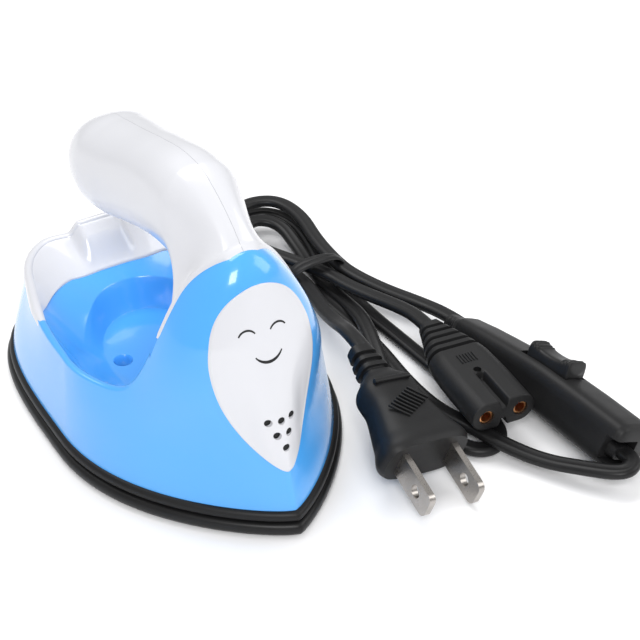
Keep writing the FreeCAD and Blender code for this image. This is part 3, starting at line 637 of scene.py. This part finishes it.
# %% Sole
def base_loop(inset, z):
    s = np.linspace(0, 2, 150)
    x, y = sole_outline(s, SOLE_LONG - 2 * inset, SOLE_WIDE - 2 * inset, -SOLE_LONG / 2 + inset)
    x[-1] = 0.0
    right = np.stack([x, y, np.full_like(x, z)], 1)
    left = right[1:-1][::-1] * np.array([-1.0, 1.0, 1.0])
    return np.concatenate([right, left])


def base_piece(name, profile, material, node):
    loops = [base_loop(inset, z) for inset, z in profile]
    middles = [np.zeros_like(loops[0]) + [0, 0, profile[end][1]] for end in (0, -1)]
    grid = np.stack([middles[0], *loops, middles[1]])
    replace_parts(make_piece(name, [(grid, True)], "iron", material, crease=70), node)


base_piece("sole", [(1.6, 0.0), (0.9, 0.08), (0.35, 0.4), (0.06, 1.0), (0.0, 1.5), (0.06, 2.0),
                    (0.35, 2.55), (0.8, 2.9), (1.5, 3.0)], SOLE_BLACK, "sole_plate")
base_piece("skirt", [(1.9, 2.95), (1.9, 3.3), (1.25, 3.5), (0.9, 3.8), (0.85, 4.4), (1.0, 5.0),
                     (1.45, 5.45), (2.0, 5.6)], SKIRT_BLACK, "base_skirt")

# %% [markdown]
# ## Rear cover
# The white cover closes the back of the iron: it wraps over the rim, runs down the
# dish's rear slope to a soft line and has a raised hood over the inlet. It follows the
# shell's own surfaces, lifted by the thickness that stands proud.

# %% Rear cover
COVER_LINE_X = np.linspace(0.0, 30.0, 61)
COVER_LINE_Y = 34.4 - 1.1 * (COVER_LINE_X / 10) ** 2 - 0.62 * (COVER_LINE_X / 10).clip(1.2) ** 3 + 1.07
COVER_LOW = 23.6
PROUD, HOOD_HIGH = 0.35, 3.0


def cover_half():
    """Rows: the outside from COVER_LOW to the rim, over the rim, then down the slope to the line."""
    dense = np.linspace(0, 1, 900) ** 1.25
    start = np.interp(14.4, side_form(dense, np.full_like(dense, RIM))[1], dense)
    k = start + (1 - start) * np.linspace(0, 1, 90)
    z = COVER_LOW + (RIM - COVER_LOW) * np.linspace(0, 1, 6)[:, None] * np.ones_like(k)[None]
    x, y = side_form(np.broadcast_to(k, z.shape), z)
    x = np.where(k[None] >= 1, 0.0, x)
    outside = np.stack([x, y, z], -1)
    roll = rolled(outside[-1])
    reach = np.linspace(0, 1, 240)
    lines = dish_lines(roll[-1], reach)
    past = lines[..., 1] - np.interp(lines[..., 0], COVER_LINE_X, COVER_LINE_Y)
    first = np.clip(np.argmax((past < 0) | (reach[:, None] > 0.985), axis=0), 1, 239)
    column = np.arange(lines.shape[1])
    before, after = past[first - 1, column], past[first, column]
    stop = (first - 1 + np.clip(before / np.maximum(before - after, 1e-6), 0, 1)) / 239
    stop = np.where(past[0] < 0, 0.0, stop)
    spot = np.linspace(0, 1, 30)[:, None] * stop[None] * 239
    low = np.clip(spot.astype(int), 0, 238)
    part = (spot - low)[..., None]
    column = column[None]
    slope = lines[low, column] * (1 - part) + lines[low + 1, column] * part
    return np.concatenate([outside, roll[1:], slope[1:]])


def raised(grid, height):
    """Move a grid outwards along its own normals by height (a number or an array)."""
    along = np.gradient(grid, axis=1)
    down = np.gradient(grid, axis=0)
    normal = np.cross(along, down)
    normal /= np.maximum(np.linalg.norm(normal, axis=-1, keepdims=True), 1e-9)
    return grid + normal * np.asarray(height)[..., None]


skin = cover_half()
rows = len(skin)
over = np.clip((np.arange(rows) - 5) / (rows - 6), 0, 1)
edge = np.minimum(np.arange(rows), np.arange(rows)[::-1])
taper = np.minimum(np.arange(90), 6)[None] / 6
lift = PROUD * np.clip(edge, 0, 1)[:, None] * taper
hood_side = 0.5 + 0.5 * np.cos(np.pi * np.clip((np.abs(skin[..., 0]) - 4.4) / 3.2, 0, 1))
hood_fade = (1 - smooth_step(0.45, 0.95, over)) * smooth_step(-0.02, 0.12, (np.arange(rows) - 2) / rows)
cover_skin, cover_in = (raised(skin, height) for height in (lift, np.full(skin.shape[:2], -0.9)))
for layer in (cover_skin, cover_in):
    layer[skin[..., 0] == 0, 0] = 0.0
cover_skin[..., 2] += HOOD_HIGH * hood_side * hood_fade[:, None]
cover_edges = [np.stack([cover_skin[0], cover_in[0]]), np.stack([cover_skin[-1], cover_in[-1]]),
               np.stack([cover_skin[:, 0], cover_in[:, 0]])]
cover_grids = both_halves([cover_skin, cover_in] + cover_edges)
cover = make_piece("rear_cover_white", cover_grids, "iron", WHITE, crease=55, merge=0.01)
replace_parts(cover, "rear_cover")

# %% [markdown]
# ## Face panel
# A white badge-like panel lies on the dome, a hair proud of it. Its outline is an oval
# above and a rounded point below. A chin ridge stands up in the middle and the two
# flanks are a little hollow. Real steam irons vent here, and this one keeps the holes.

# %% Panel surface
PANEL_TOP, PANEL_TIP, PANEL_WIDE_Z, PANEL_HALF = 54.1, 14.3, 38.0, 12.0
SECTION_T = np.linspace(0, 1, 160)


def panel_half(z):
    """An egg: a quarter ellipse above the widest height, a fuller quarter below it."""
    up = PANEL_HALF * np.sqrt(np.clip(1 - ((z - PANEL_WIDE_Z) / 16.1) ** 2, 0, 1))
    down = PANEL_HALF * np.clip(1 - ((PANEL_WIDE_Z - z) / 23.7).clip(0, 1) ** 1.75, 0, 1) ** 0.72
    return np.where(z > PANEL_WIDE_Z, up, down)


def dome_y(x, z):
    """Where the front surface lies at (x, z): each row's section, read at |x|."""
    rows = []
    for height, line in zip(z[:, 0], x):
        section_x, section_y = front_form(SECTION_T, np.full_like(SECTION_T, height))
        rows.append(np.interp(np.abs(line), section_x, section_y))
    return np.array(rows)


def chin(x, z):
    """Height over the plain dome: a U-shaped ridge with hollow flanks, fading upwards."""
    middle = 1 - smooth_step(3.6, 8.4, np.abs(x) * (1 + 0.02 * (36 - z)))
    low = 1 - smooth_step(27.0, 39.0, z)
    foot = smooth_step(14.3, 21.0, z)
    return (0.62 * middle * low - 0.22 * low) * foot


def on_panel(x, z, height):
    """Points at a height over the panel's surface, moved along the dome's normal."""
    step = 0.15
    y = dome_y(x, z)
    slope_x = (dome_y(x + step, z) - dome_y(x - step, z)) / (2 * step)
    slope_z = (dome_y(x, z + step) - dome_y(x, z - step)) / (2 * step)
    normal = np.stack([slope_x, -np.ones_like(y), slope_z], -1)
    normal /= np.linalg.norm(normal, axis=-1, keepdims=True)
    return np.stack([x, y, z], -1) + normal * height[..., None]


def slab(top, low):
    """Two grids one over the other, with a wall round their edge."""
    wall = np.stack([np.concatenate([g[0], g[1:, -1], g[-1, ::-1][1:], g[::-1, 0][1:]]) for g in (top, low)])
    return [(top, False), (low, False), (wall, False)]


turn = np.linspace(0, np.pi, 90)
panel_z = (PANEL_TOP + PANEL_TIP) / 2 + (PANEL_TOP - PANEL_TIP) / 2 * np.cos(turn)
across = np.sin(np.linspace(-1, 1, 61) * np.pi / 2)
u, z = np.meshgrid(across, panel_z)
x = u * panel_half(z)
rim_share = np.minimum(1 - np.abs(u), np.minimum(PANEL_TOP - z, z - PANEL_TIP) / 12.0)
panel_height = 0.42 * np.sqrt(np.clip(rim_share / 0.05, 0, 1)) + chin(x, z) * np.clip(rim_share / 0.1, 0, 1)
front = on_panel(x, z, panel_height - 0.10)
back = on_panel(x, z, np.full_like(x, -0.6))
panel = make_piece("panel", slab(front, back), "iron", WHITE, crease=60, merge=0.01)
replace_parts(panel, "face_panel")

# %% [markdown]
# ### Vents and smile
# Six round holes in rows of three, two and one, and three printed arcs: two for the
# eyes and one for the mouth. The holes are cut with a Boolean; the arcs are thin inlays
# that follow the panel.

# %% Vents and smile
VENTS = [(-2.7, 25.9), (0.0, 25.9), (2.7, 25.9), (-1.35, 22.9), (1.35, 22.9), (0.1, 20.0)]


def vent_tools(radius, depth_out, depth_in):
    profile = [(0, -depth_out), (radius, -depth_out), (radius, depth_in), (0, depth_in)]
    middles = [(x, float(dome_y(np.array([[x]]), np.array([[z]]))[0, 0]), z) for x, z in VENTS]
    return [spun(profile, middle, 1, 20) for middle in middles]


carve(panel, vent_tools(0.82, 2.5, 3.0), 60)
# Black plugs sit just inside each vent hole: painted shade for the dark inside of the holes.
make_piece("vent_wells", vent_tools(0.76, 0.45, 0.5), "iron", VENT_SHADE_BLACK)


def inlay(name, middle_x, middle_z, radius, start, stop, thick, ends):
    """An arc on the panel: radius and angles in degrees, thickest in the middle."""
    a = np.radians(np.linspace(start, stop, 40))[None]
    w = np.linspace(-1, 1, 5)[:, None]
    share = np.linspace(0, 1, 40)[None]
    half = thick / 2 * (ends + (1 - ends) * np.sin(np.pi * share)) * np.ones_like(w)
    px = middle_x + (radius + w * half) * np.cos(a)
    pz = middle_z + (radius + w * half) * np.sin(a)
    flat_x, flat_z = px.ravel()[:, None], pz.ravel()[:, None]
    top, low = (on_panel(flat_x, flat_z, height + chin(flat_x, flat_z)).reshape(5, 40, 3)
                for height in (0.36, 0.10))
    make_piece(name, slab(top, low), "iron", MARK_BLACK)


inlay("eye_left", -3.95, 43.9, 2.0, 30, 150, 0.42, 0.7)
inlay("eye_right", 2.95, 43.7, 2.0, 30, 150, 0.42, 0.7)
inlay("mouth", 0.0, 41.9, 3.5, 212, 328, 0.62, 0.4)

# %% [markdown]
# ## Handle
# The handle grows out of the arch like a trumpet, bends back over the dish and ends
# free. It is moulded as two halves screwed together, so a fine parting line runs along
# its top. Rings start on the arch, shrink into the neck and then follow the grip.

# %% Handle rings
FLARE_LOW, GRIP_SQUARE, JOINT_GAP = 40.6, 0.88, 0.03
GRIP_Y = [-13.0, -8.0, 2.0, 12.0, 21.0, 27.5, 32.5, 35.8, 37.4]
GRIP_TOP = [70.4, 70.5, 69.0, 66.9, 65.2, 63.8, 61.2, 57.8, 54.2]
GRIP_LOW = [48.2, 48.2, 46.7, 44.0, 41.6, 41.4, 43.4, 46.6, 50.6]
GRIP_HALF = [9.3, 9.4, 9.6, 10.0, 10.8, 10.8, 9.4, 6.4, 2.4]


def grip_ring(y, turn):
    """A rounded section at y: turn 0 is the middle of the underside, pi the top."""
    top, low, half = (smooth_through(GRIP_Y, v, y) for v in (GRIP_TOP, GRIP_LOW, GRIP_HALF))
    c, s = np.cos(turn), np.sin(turn)
    x = half * signed_power(s, GRIP_SQUARE)
    z = (top + low) / 2 - (top - low) / 2 * signed_power(c, GRIP_SQUARE)
    return np.stack([x + 0 * y, y + 0 * turn, z + 0 * y], -1)


def arch_ring(turn):
    """The ring on the arch: straight across below, then along the arch over the top."""
    corner = math.radians(62)
    climb = np.clip((turn - corner) / (np.pi - corner), 0, 1)
    z = FLARE_LOW + (PEAK + 0.9 - FLARE_LOW) * (1 - (1 - climb) ** 2)
    x = ARCH_SPREAD * np.sqrt(np.maximum(PEAK + 0.9 - z, 0.0))
    x_low = x[np.argmax(climb > 0) - 1]
    x = np.where(climb > 0, x, x_low * np.clip(turn / corner, 0, 1))
    z = z - 1.2 * np.cos(np.clip(turn / corner, 0, 1) * np.pi / 2) * (climb <= 0)
    return np.stack([x, arch_y(np.minimum(z, PEAK)) + 0.3, z], -1)


turn = np.linspace(0, np.pi, 45)
ring_a = arch_ring(turn)
ring_b = grip_ring(np.full_like(turn, -13.0), turn)
top_share = smooth_step(math.radians(95), math.pi, turn)
low_share = 1 - smooth_step(0, math.radians(80), turn)
leave = np.stack([-20.0 * np.sin(turn) * (1 - 0.6 * top_share),
                  1.5 + 11.0 * top_share + 1.5 * low_share,
                  9.0 + 5.0 * top_share + 14.0 * low_share], -1)
arrive = (grip_ring(np.full_like(turn, -12.0), turn) - ring_b) * 13.0
t = np.linspace(0, 1, 26)[:, None, None]
neck = hermite(t, ring_a, leave, ring_b, arrive)
grip_y = np.concatenate([np.linspace(-13.0, 32.5, 50)[1:], np.array([34.0, 35.1, 35.8, 36.5, 37.0, 37.4])])
grip = grip_ring(grip_y[:, None], turn[None])
tip_middle = np.array([0.0, 37.8, (GRIP_TOP[-1] + GRIP_LOW[-1]) / 2])
cap = tip_middle + (grip[-1] - tip_middle) * np.array([0.6, 0.0])[:, None, None]
hidden = ring_a - np.stack([1.2 * np.sin(turn), np.full_like(turn, 1.6), 1.2 * np.sin(turn / 2)], -1)
body_rows = np.concatenate([hidden[None], ring_a[None] + np.array([0, -0.1, 0]), neck, grip, cap])
body_rows[..., 0] = np.maximum(body_rows[..., 0], 0.0)
body_rows[..., 0] += JOINT_GAP * (1 - np.clip(body_rows[..., 0] / 0.5, 0, 1))
inner_face = np.stack([body_rows[:, 0], (body_rows[:, 0] + body_rows[:, -1]) / 2, body_rows[:, -1]], 1)
hidden_cap = np.stack([body_rows[0], (body_rows[0, :1] + body_rows[0, -1:]) / 2 + 0 * body_rows[0]])
handle_grids = both_halves([body_rows, inner_face, hidden_cap])
for side, grids in (("right", handle_grids[:3]), ("left", handle_grids[3:])):
    piece = make_piece(f"handle_half_{side}", grids, "iron", WHITE, crease=60, merge=0.004)
    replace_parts(piece, f"handle_{side}")

# %% [markdown]
# ## Fittings on the lead
# Connector, switch and plug are moulded rubbery blocks. Each is drawn lying along its
# own X axis with its face at zero, as a stack of sections, and then laid where it rests
# by one turn and one shift, the same that the CAD uses.


# %% Placing and sections
def turned(grid, at, yaw, pitch=0.0, roll=0.0):
    """Turn a grid built along +X by yaw, pitch and roll, in degrees, then move it to at."""
    y, p, r = np.radians([yaw, pitch, roll])
    about_z = np.array([[np.cos(y), -np.sin(y), 0], [np.sin(y), np.cos(y), 0], [0, 0, 1]])
    about_y = np.array([[np.cos(p), 0, np.sin(p)], [0, 1, 0], [-np.sin(p), 0, np.cos(p)]])
    about_x = np.array([[1, 0, 0], [0, np.cos(r), -np.sin(r)], [0, np.sin(r), np.cos(r)]])
    return grid @ (about_z @ about_y @ about_x).T + np.array(at)


def block_rows(x, wide, high, power, steps=72):
    """Rounded-box sections at each x; power 2 is an ellipse, larger is squarer."""
    turn = np.linspace(0, 2 * np.pi, steps, endpoint=False)[None]
    x, wide, high = (np.asarray(v, float)[:, None] for v in (x, wide, high))
    y = wide / 2 * signed_power(np.cos(turn), 2 / power)
    z = high / 2 * signed_power(np.sin(turn), 2 / power)
    return np.stack([x + 0 * y, y, z], -1)


def laid(rows, place):
    """A stack of sections, its ends closed, turned and moved to where its fitting lies."""
    return turned(capped(rows), *place), True


def notches(x, centres, width, depth):
    """A square-shouldered groove of this width and depth at each centre along x."""
    x = np.asarray(x, float)
    near = np.min(np.abs(x[:, None] - np.asarray(centres)[None]), axis=1)
    return depth * (1 - smooth_step(width / 2 - 0.12, width / 2 + 0.12, near))


CONNECTOR_AT = ((53.3, -51.4, 9.4), -97.8, 0.0, 0.0)
SWITCH_AT = ((71.5, -73.4, 7.3), -88.0, 0.0, -24.0)
PLUG_AT = ((31.5, -49.0, 8.6), -95.0, 15.0, -10.0)


# %% [markdown]
# ### Connector
# Its section is a figure eight: two round lobes and a web. Towards the face a deep
# groove runs between the lobes; farther back it closes and the body draws in to a
# ribbed neck.

# %% Connector body
LOBE_R, LOBE_PITCH = 3.6, 8.6
rear_x = -29.0 - 6.5
x = np.unique(np.concatenate([np.linspace(rear_x, -21.0, 120), np.linspace(-21.0, -1.2, 60),
                              np.linspace(-1.2, 0, 10), [-11.4, -11.0, -10.6]]))[::-1]
turn = np.linspace(0, 2 * np.pi, 180, endpoint=False)
FULL = LOBE_PITCH / 2 + LOBE_R
half_wide = smooth_through([-35.5, -31.0, -24.0, -20.0, -16.0, 0.0], [2.7, 4.2, 6.7, 7.6, FULL, FULL], x)
lobe_y = np.clip(LOBE_PITCH / 2 * half_wide / FULL, 0, None)[:, None]
radius = (half_wide[:, None] - lobe_y)
high = np.interp(x, [-35.5, -29.0, -20.0, 0.0], [2.2, 3.0, 3.6, LOBE_R])[:, None]
y = half_wide[:, None] * np.cos(turn)[None]
beyond = np.clip((np.abs(y) - lobe_y) / np.maximum(radius, 1e-3), -1, 1)
dome = np.sqrt(np.clip(1 - np.clip(beyond, 0, 1) ** 2, 0, 1))
groove_wide = 0.95
in_groove = 1 - smooth_step(groove_wide * 0.55, groove_wide * 1.35, np.abs(y))
groove = in_groove * smooth_step(-11.6, -10.8, x)[:, None] * 2.0
face_round = 0.45 * (1 - np.sqrt(np.clip(1 - (np.clip(x + 0.45, 0, 0.45) / 0.45) ** 2, 0, 1)))[:, None]
ribs = notches(x, [-22.6, -25.2, -27.8, -30.4, -33.0], 0.95, 0.85)[:, None]
level = high * dome - np.where(dome > 0.2, groove, 0) - face_round - ribs * (np.sin(turn)[None] > -0.9)
z = np.maximum(level, 0.02) * np.sign(np.sin(turn))[None]
z = np.where(np.abs(np.sin(turn))[None] < 1e-9, 0.0, z)
y = y * (1 - (face_round + 0.5 * ribs) / half_wide[:, None])
eight = np.stack([x[:, None] + 0 * y, y, z], -1)
connector = make_piece("connector_figure_eight", [laid(eight, CONNECTOR_AT)], "lead",
                       FITTING_BLACK, crease=50)


# %% Connector sockets and hatch
SOCKET = [(0, 1.0), (1.78, 1.0), (1.78, -9.0), (0, -9.0)]
SLEEVE_RINGS = [(1.75, -8.9), (1.75, -0.5), (1.63, -0.42), (1.3, -0.42), (1.3, -8.5), (0.0, -8.5)]
DIMPLE = [(0, 6.0), (0.95, 6.0), (0.95, 2.6), (0, 2.6)]


def on_connector(profile, middle, axis, steps=32):
    return turned(spun(profile, middle, axis, steps)[0], *CONNECTOR_AT), True


lobes = [(0, side * LOBE_PITCH / 2, 0) for side in (-1, 1)]
cuts = [on_connector(SOCKET, lobe, 0) for lobe in lobes] + [on_connector(DIMPLE, (-12.4, 0, 0), 2, 24)]
carve(connector, cuts)
contacts = make_piece("connector_sleeves", [on_connector(SLEEVE_RINGS, lobe, 0) for lobe in lobes], "lead",
                      COPPER)
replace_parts(connector, "connector_body", "connector_relief")
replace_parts(contacts, "connector_contacts")


def bars(name, spots, size, place):
    """Small bars with rounded tops: spots are (x, y, z, turn in degrees), size (long, wide, high)."""
    long, wide, high = size
    rows = block_rows([-long / 2, -long / 2 + 0.15, long / 2 - 0.15, long / 2],
                      [wide * 0.6, wide, wide, wide * 0.6], [high * 0.7, high, high, high * 0.7], 3.5, 12)
    grids = [laid(turned(rows, spot[:3], spot[3]), place) for spot in spots]
    make_piece(name, grids, "lead", FITTING_BLACK)


bars("connector_hatch", [(-17.2, y, 3.62, 0) for y in np.linspace(-1.9, 1.9, 6)], (3.2, 0.36, 0.55),
     CONNECTOR_AT)

# %% [markdown]
# ### Switch
# A two-part housing that swells from the cord's end to a blunt nose. The pin and the
# screws stay as the CAD has them; the housing is one smooth skin with a parting groove
# along its sides, and its thin end droops to the ground.

# %% Switch housing
x = np.unique(np.concatenate([np.linspace(-58, -55, 14), np.linspace(-55, -4, 60), np.linspace(-4, 0, 22)]))
key = [-58.0, -57.4, -56.0, -50.0, -44.0, -30.0, -14.0, -4.0, -1.6, -0.5, 0.0]
wide = np.interp(x, key, [6.4, 7.6, 8.6, 9.8, 10.4, 11.4, 12.0, 12.0, 11.6, 10.8, 9.8])
high = 0.88 * np.interp(x, key, [6.0, 7.2, 8.4, 10.0, 10.8, 12.2, 13.0, 13.0, 12.6, 11.8, 10.8])
housing = block_rows(x, wide, high, 4.4, 96)
parting = np.exp(-(housing[..., 2] / 0.18) ** 2) * (np.abs(housing[..., 1]) > 2)
housing[..., 1] -= np.sign(housing[..., 1]) * 0.22 * parting
tail_drop = 1.85 * smooth_step(-24.0, -60.0, x)
housing[..., 2] -= (0.75 + tail_drop)[:, None]
switch_skin = make_piece("switch_housing", [laid(housing, SWITCH_AT)], "lead", FITTING_BLACK,
                         crease=50)


def box_rows(x0, x1, y0, y1, z0, z1):
    """A nearly square-edged box as two sections, for cutting."""
    rows = block_rows([x0, x1], [y1 - y0] * 2, [z1 - z0] * 2, 40, 48)
    return rows + np.array([0.0, (y0 + y1) / 2, (z0 + z1) / 2])


carve(switch_skin, [laid(box_rows(-35.4, -20.6, -3.7, 3.7, 1.6, 12), SWITCH_AT),
                    laid(box_rows(-3.2, 1.5, -6.8, 1.4, -4.6, 1.2), SWITCH_AT)])
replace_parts(switch_skin, "switch_lower", "switch_upper")
stub_x = np.linspace(-3.4, -0.8, 10)
stub = block_rows(stub_x, np.linspace(5.2, 4.6, 10), np.linspace(4.0, 3.3, 10), 3)
stub += np.array([0.0, -1.5, -2.2])
back_x = np.linspace(-61.6, -57.5, 16)
back_stub = block_rows(back_x, np.linspace(5.0, 6.4, 16) - notches(back_x, [-60.4, -59.2], 0.5, 0.6),
                       np.linspace(4.4, 6.0, 16), 3)
back_stub[..., 2] -= 3.0
reliefs = make_piece("switch_sleeves", [laid(stub, SWITCH_AT), laid(back_stub, SWITCH_AT)], "lead",
                     FITTING_BLACK, crease=50)
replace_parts(reliefs, "switch_reliefs")

# %% [markdown]
# ### Inlet opening
# The inlet block sits in a plain opening in the iron's rear wall, a hair wider than itself,
# so its recess and two pins can be seen from behind.

# %% Inlet opening
INLET_HALF_WIDE, INLET_LOW, INLET_HIGH, INLET_FRONT = 8.55, 7.65, 18.35, 39.4
opening = box_rows(-INLET_HALF_WIDE, INLET_HALF_WIDE, INLET_FRONT, 52.0, INLET_LOW, INLET_HIGH)
carve(shell, [(capped(opening), True)])

# %% [markdown]
# ### Rocker
# The button is a saddle: high at both ends and dished between, with rounded corners.
# It is drawn level about its pin and then tipped to its first stop, as in the CAD.

# %% Rocker button
ROCKER_AT, PIN_Z, REST_TIP = -27.0, 3.2, 6.0
along = np.unique(np.concatenate([np.linspace(-7, -6, 8), np.linspace(-6, 5, 40), np.linspace(5, 6, 8)]))
out = np.abs(along + 0.5)
ridges = 0.25 * np.cos(out * 7.0) * (out > 3.4)
saddle = 6.9 + 1.5 * (out / 6.5) ** 2.2 + ridges
ends = np.sqrt(np.clip(1 - (np.clip(out - 5.7, 0, 0.8) / 0.82) ** 2, 0, 1))
top_z = 4.2 + (saddle - 4.2) * (0.55 + 0.45 * ends)
button = block_rows(along, np.full_like(along, 6.2) * (0.9 + 0.1 * ends), top_z - 2.4, 5.0, 48)
button[..., 2] += ((top_z + 2.4) / 2)[:, None]
tip = math.radians(-REST_TIP)
level_x, level_z = button[..., 0].copy(), button[..., 2] - PIN_Z
button[..., 0] = ROCKER_AT + level_x * math.cos(tip) + level_z * math.sin(tip)
button[..., 2] = PIN_Z - level_x * math.sin(tip) + level_z * math.cos(tip)
rocker = make_piece("rocker_button", [laid(button, SWITCH_AT)], "rocker",
                    satin_black("rocker_black", 0.007, 0.38, 0.3, 0.02))
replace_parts(rocker, "switch_rocker")

# %% [markdown]
# ### Plug
# The plug widens from its segmented neck to a flat face. A bar stands across its top
# and a patch of slanting ribs gives the thumb a hold.

# %% Plug body
x = np.unique(np.concatenate([np.linspace(-28, -19, 60), np.linspace(-19, 0, 50), [-0.3, -0.15],
                              np.linspace(0, 4, 16)]))
key = [-28, -22, -18.8, -17.2, -10, -2, 3.2, 4.0]
wide = smooth_through(key, [5.4, 7.2, 8.2, 11.6, 14.0, 18.6, 21.2, 20.4], x)
high = smooth_through(key, [4.6, 6.4, 7.0, 8.4, 9.6, 11.2, 12.4, 11.8], x)
cuts = notches(x, [-20.2, -22.6, -25.0], 1.1, 1.5)
plug_rows = block_rows(x, wide - cuts * 1.2, high - cuts, 3.4, 96)
plug_piece = make_piece("plug_moulding", [laid(plug_rows, PLUG_AT)], "lead", FITTING_BLACK,
                        crease=50)
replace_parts(plug_piece, "plug_body", "plug_relief")
bars("plug_bar", [(-15.0, 0.0, 4.9, 90)], (9.4, 1.2, 1.2), PLUG_AT)
ribs_at = [(-9.6 + 0.55 * i, 3.6 - 1.0 * i, 5.28 + 0.03 * i, 42) for i in range(8)]
bars("plug_thumb_ribs", ribs_at, (5.2, 0.42, 0.7), PLUG_AT)

# %% [markdown]
# ### Tie
# A thin flat band holds the bundle with two turns round it.

# %% Tie band
turn = np.linspace(0, 4 * np.pi, 160)
tie_x = 50.2 + 7.9 * signed_power(np.cos(turn), 0.75)
tie_z = 5.35 + 4.75 * signed_power(np.sin(turn), 0.75)
tie_y = 21.6 + 2.6 * np.linspace(0, 1, 160) + 0.25 * np.sin(turn * 2.5)
tie_path = np.stack([tie_x, tie_y, tie_z], 1)
ring = np.linspace(0, 2 * np.pi, 12, endpoint=False)
flat = np.stack([0.5 * np.cos(ring), 1.15 * np.sin(ring)], 1)
tie = make_piece("wire_tie", [(capped(carry(tie_path, flat, (0.0, 1.0, 0.0))), True)], "lead",
                 CORD_BLACK)
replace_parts(tie, "hank_tie")

# %% [markdown]
# ## The CAD parts that stay
# Screws, pins, blades, the inlet and everything inside the iron keep their CAD shape
# and only get a finish.

# %% Finishes on CAD parts
MICA = glossy_plastic("mica", (0.42, 0.36, 0.24), (0.62, 0.56, 0.42), 0.4, 0.2)
CERAMIC = glossy_plastic("heater_ceramic", (0.62, 0.60, 0.55), (0.74, 0.72, 0.68), 0.6, 0.0)
SLEEVE = glossy_plastic("wire_sleeve", (0.55, 0.50, 0.40), (0.70, 0.66, 0.56), 0.6, 0.0)
KEPT = {"heating_element": CERAMIC, "insulation_sheet": MICA, "thermostat": CERAMIC, "thermal_fuse": SLEEVE,
        "internal_wires": SLEEVE, "inlet_socket": SKIRT_BLACK, "inlet_pins": NICKEL, "plug_blades": NICKEL}
KEPT.update(dict.fromkeys(["skirt_screws", "heater_clamp", "clamp_screws", "thermostat_bracket",
                           "handle_screws", "rocker_pin", "switch_screws"], STEEL))
for node, finish in KEPT.items():
    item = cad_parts[node]
    item = item if hasattr(item, "material_slots") else bpy.data.objects[node]
    for place in item.material_slots:
        place.material = finish
print("kept CAD parts:", len(KEPT))

# %% [markdown]
# ## Ground, light and last words
# The object stands on a plain pale floor under large soft lights.

# %% Stage
floor_mesh = bpy.data.meshes.new("floor")
corners = [(x, y, -0.0003) for x, y in ((-3, -3), (3, -3), (3, 3), (-3, 3))]
floor_mesh.from_pydata(corners, [], [(0, 1, 2, 3)])
floor_piece = add_object("floor", floor_mesh)
floor_finish = Finish("pale_floor", Base_Color=(0.93, 0.93, 0.94, 1.0), Roughness=0.55)
floor_mesh.materials.append(floor_finish.material)

world = bpy.data.worlds.new("studio")
world.use_nodes = True
world.node_tree.nodes["Background"].inputs["Color"].default_value = (1.0, 1.0, 1.0, 1.0)
world.node_tree.nodes["Background"].inputs["Strength"].default_value = 0.52
bpy.context.scene.world = world
bpy.context.scene.view_settings.view_transform = "Standard"


def soft_light(name, place, aim, size, power):
    data = bpy.data.lights.new(name, "AREA")
    data.shape = "RECTANGLE"
    data.size, data.size_y = size
    data.energy = power
    lamp = add_object(name, data)
    direction = np.array(aim) - np.array(place)
    lamp.location = place
    flat = math.hypot(direction[0], direction[1])
    lamp.rotation_euler = (math.atan2(flat, -direction[2]), 0.0, math.atan2(-direction[0], direction[1]))


soft_light("key", (-0.30, -0.55, 0.60), (0.0, 0.0, 0.02), (0.35, 0.35), 4.2)
soft_light("fill", (0.60, -0.35, 0.45), (0.02, -0.02, 0.02), (0.5, 0.4), 1.6)
soft_light("top", (0.05, 0.30, 0.70), (0.02, 0.0, 0.02), (0.6, 0.4), 3.4)
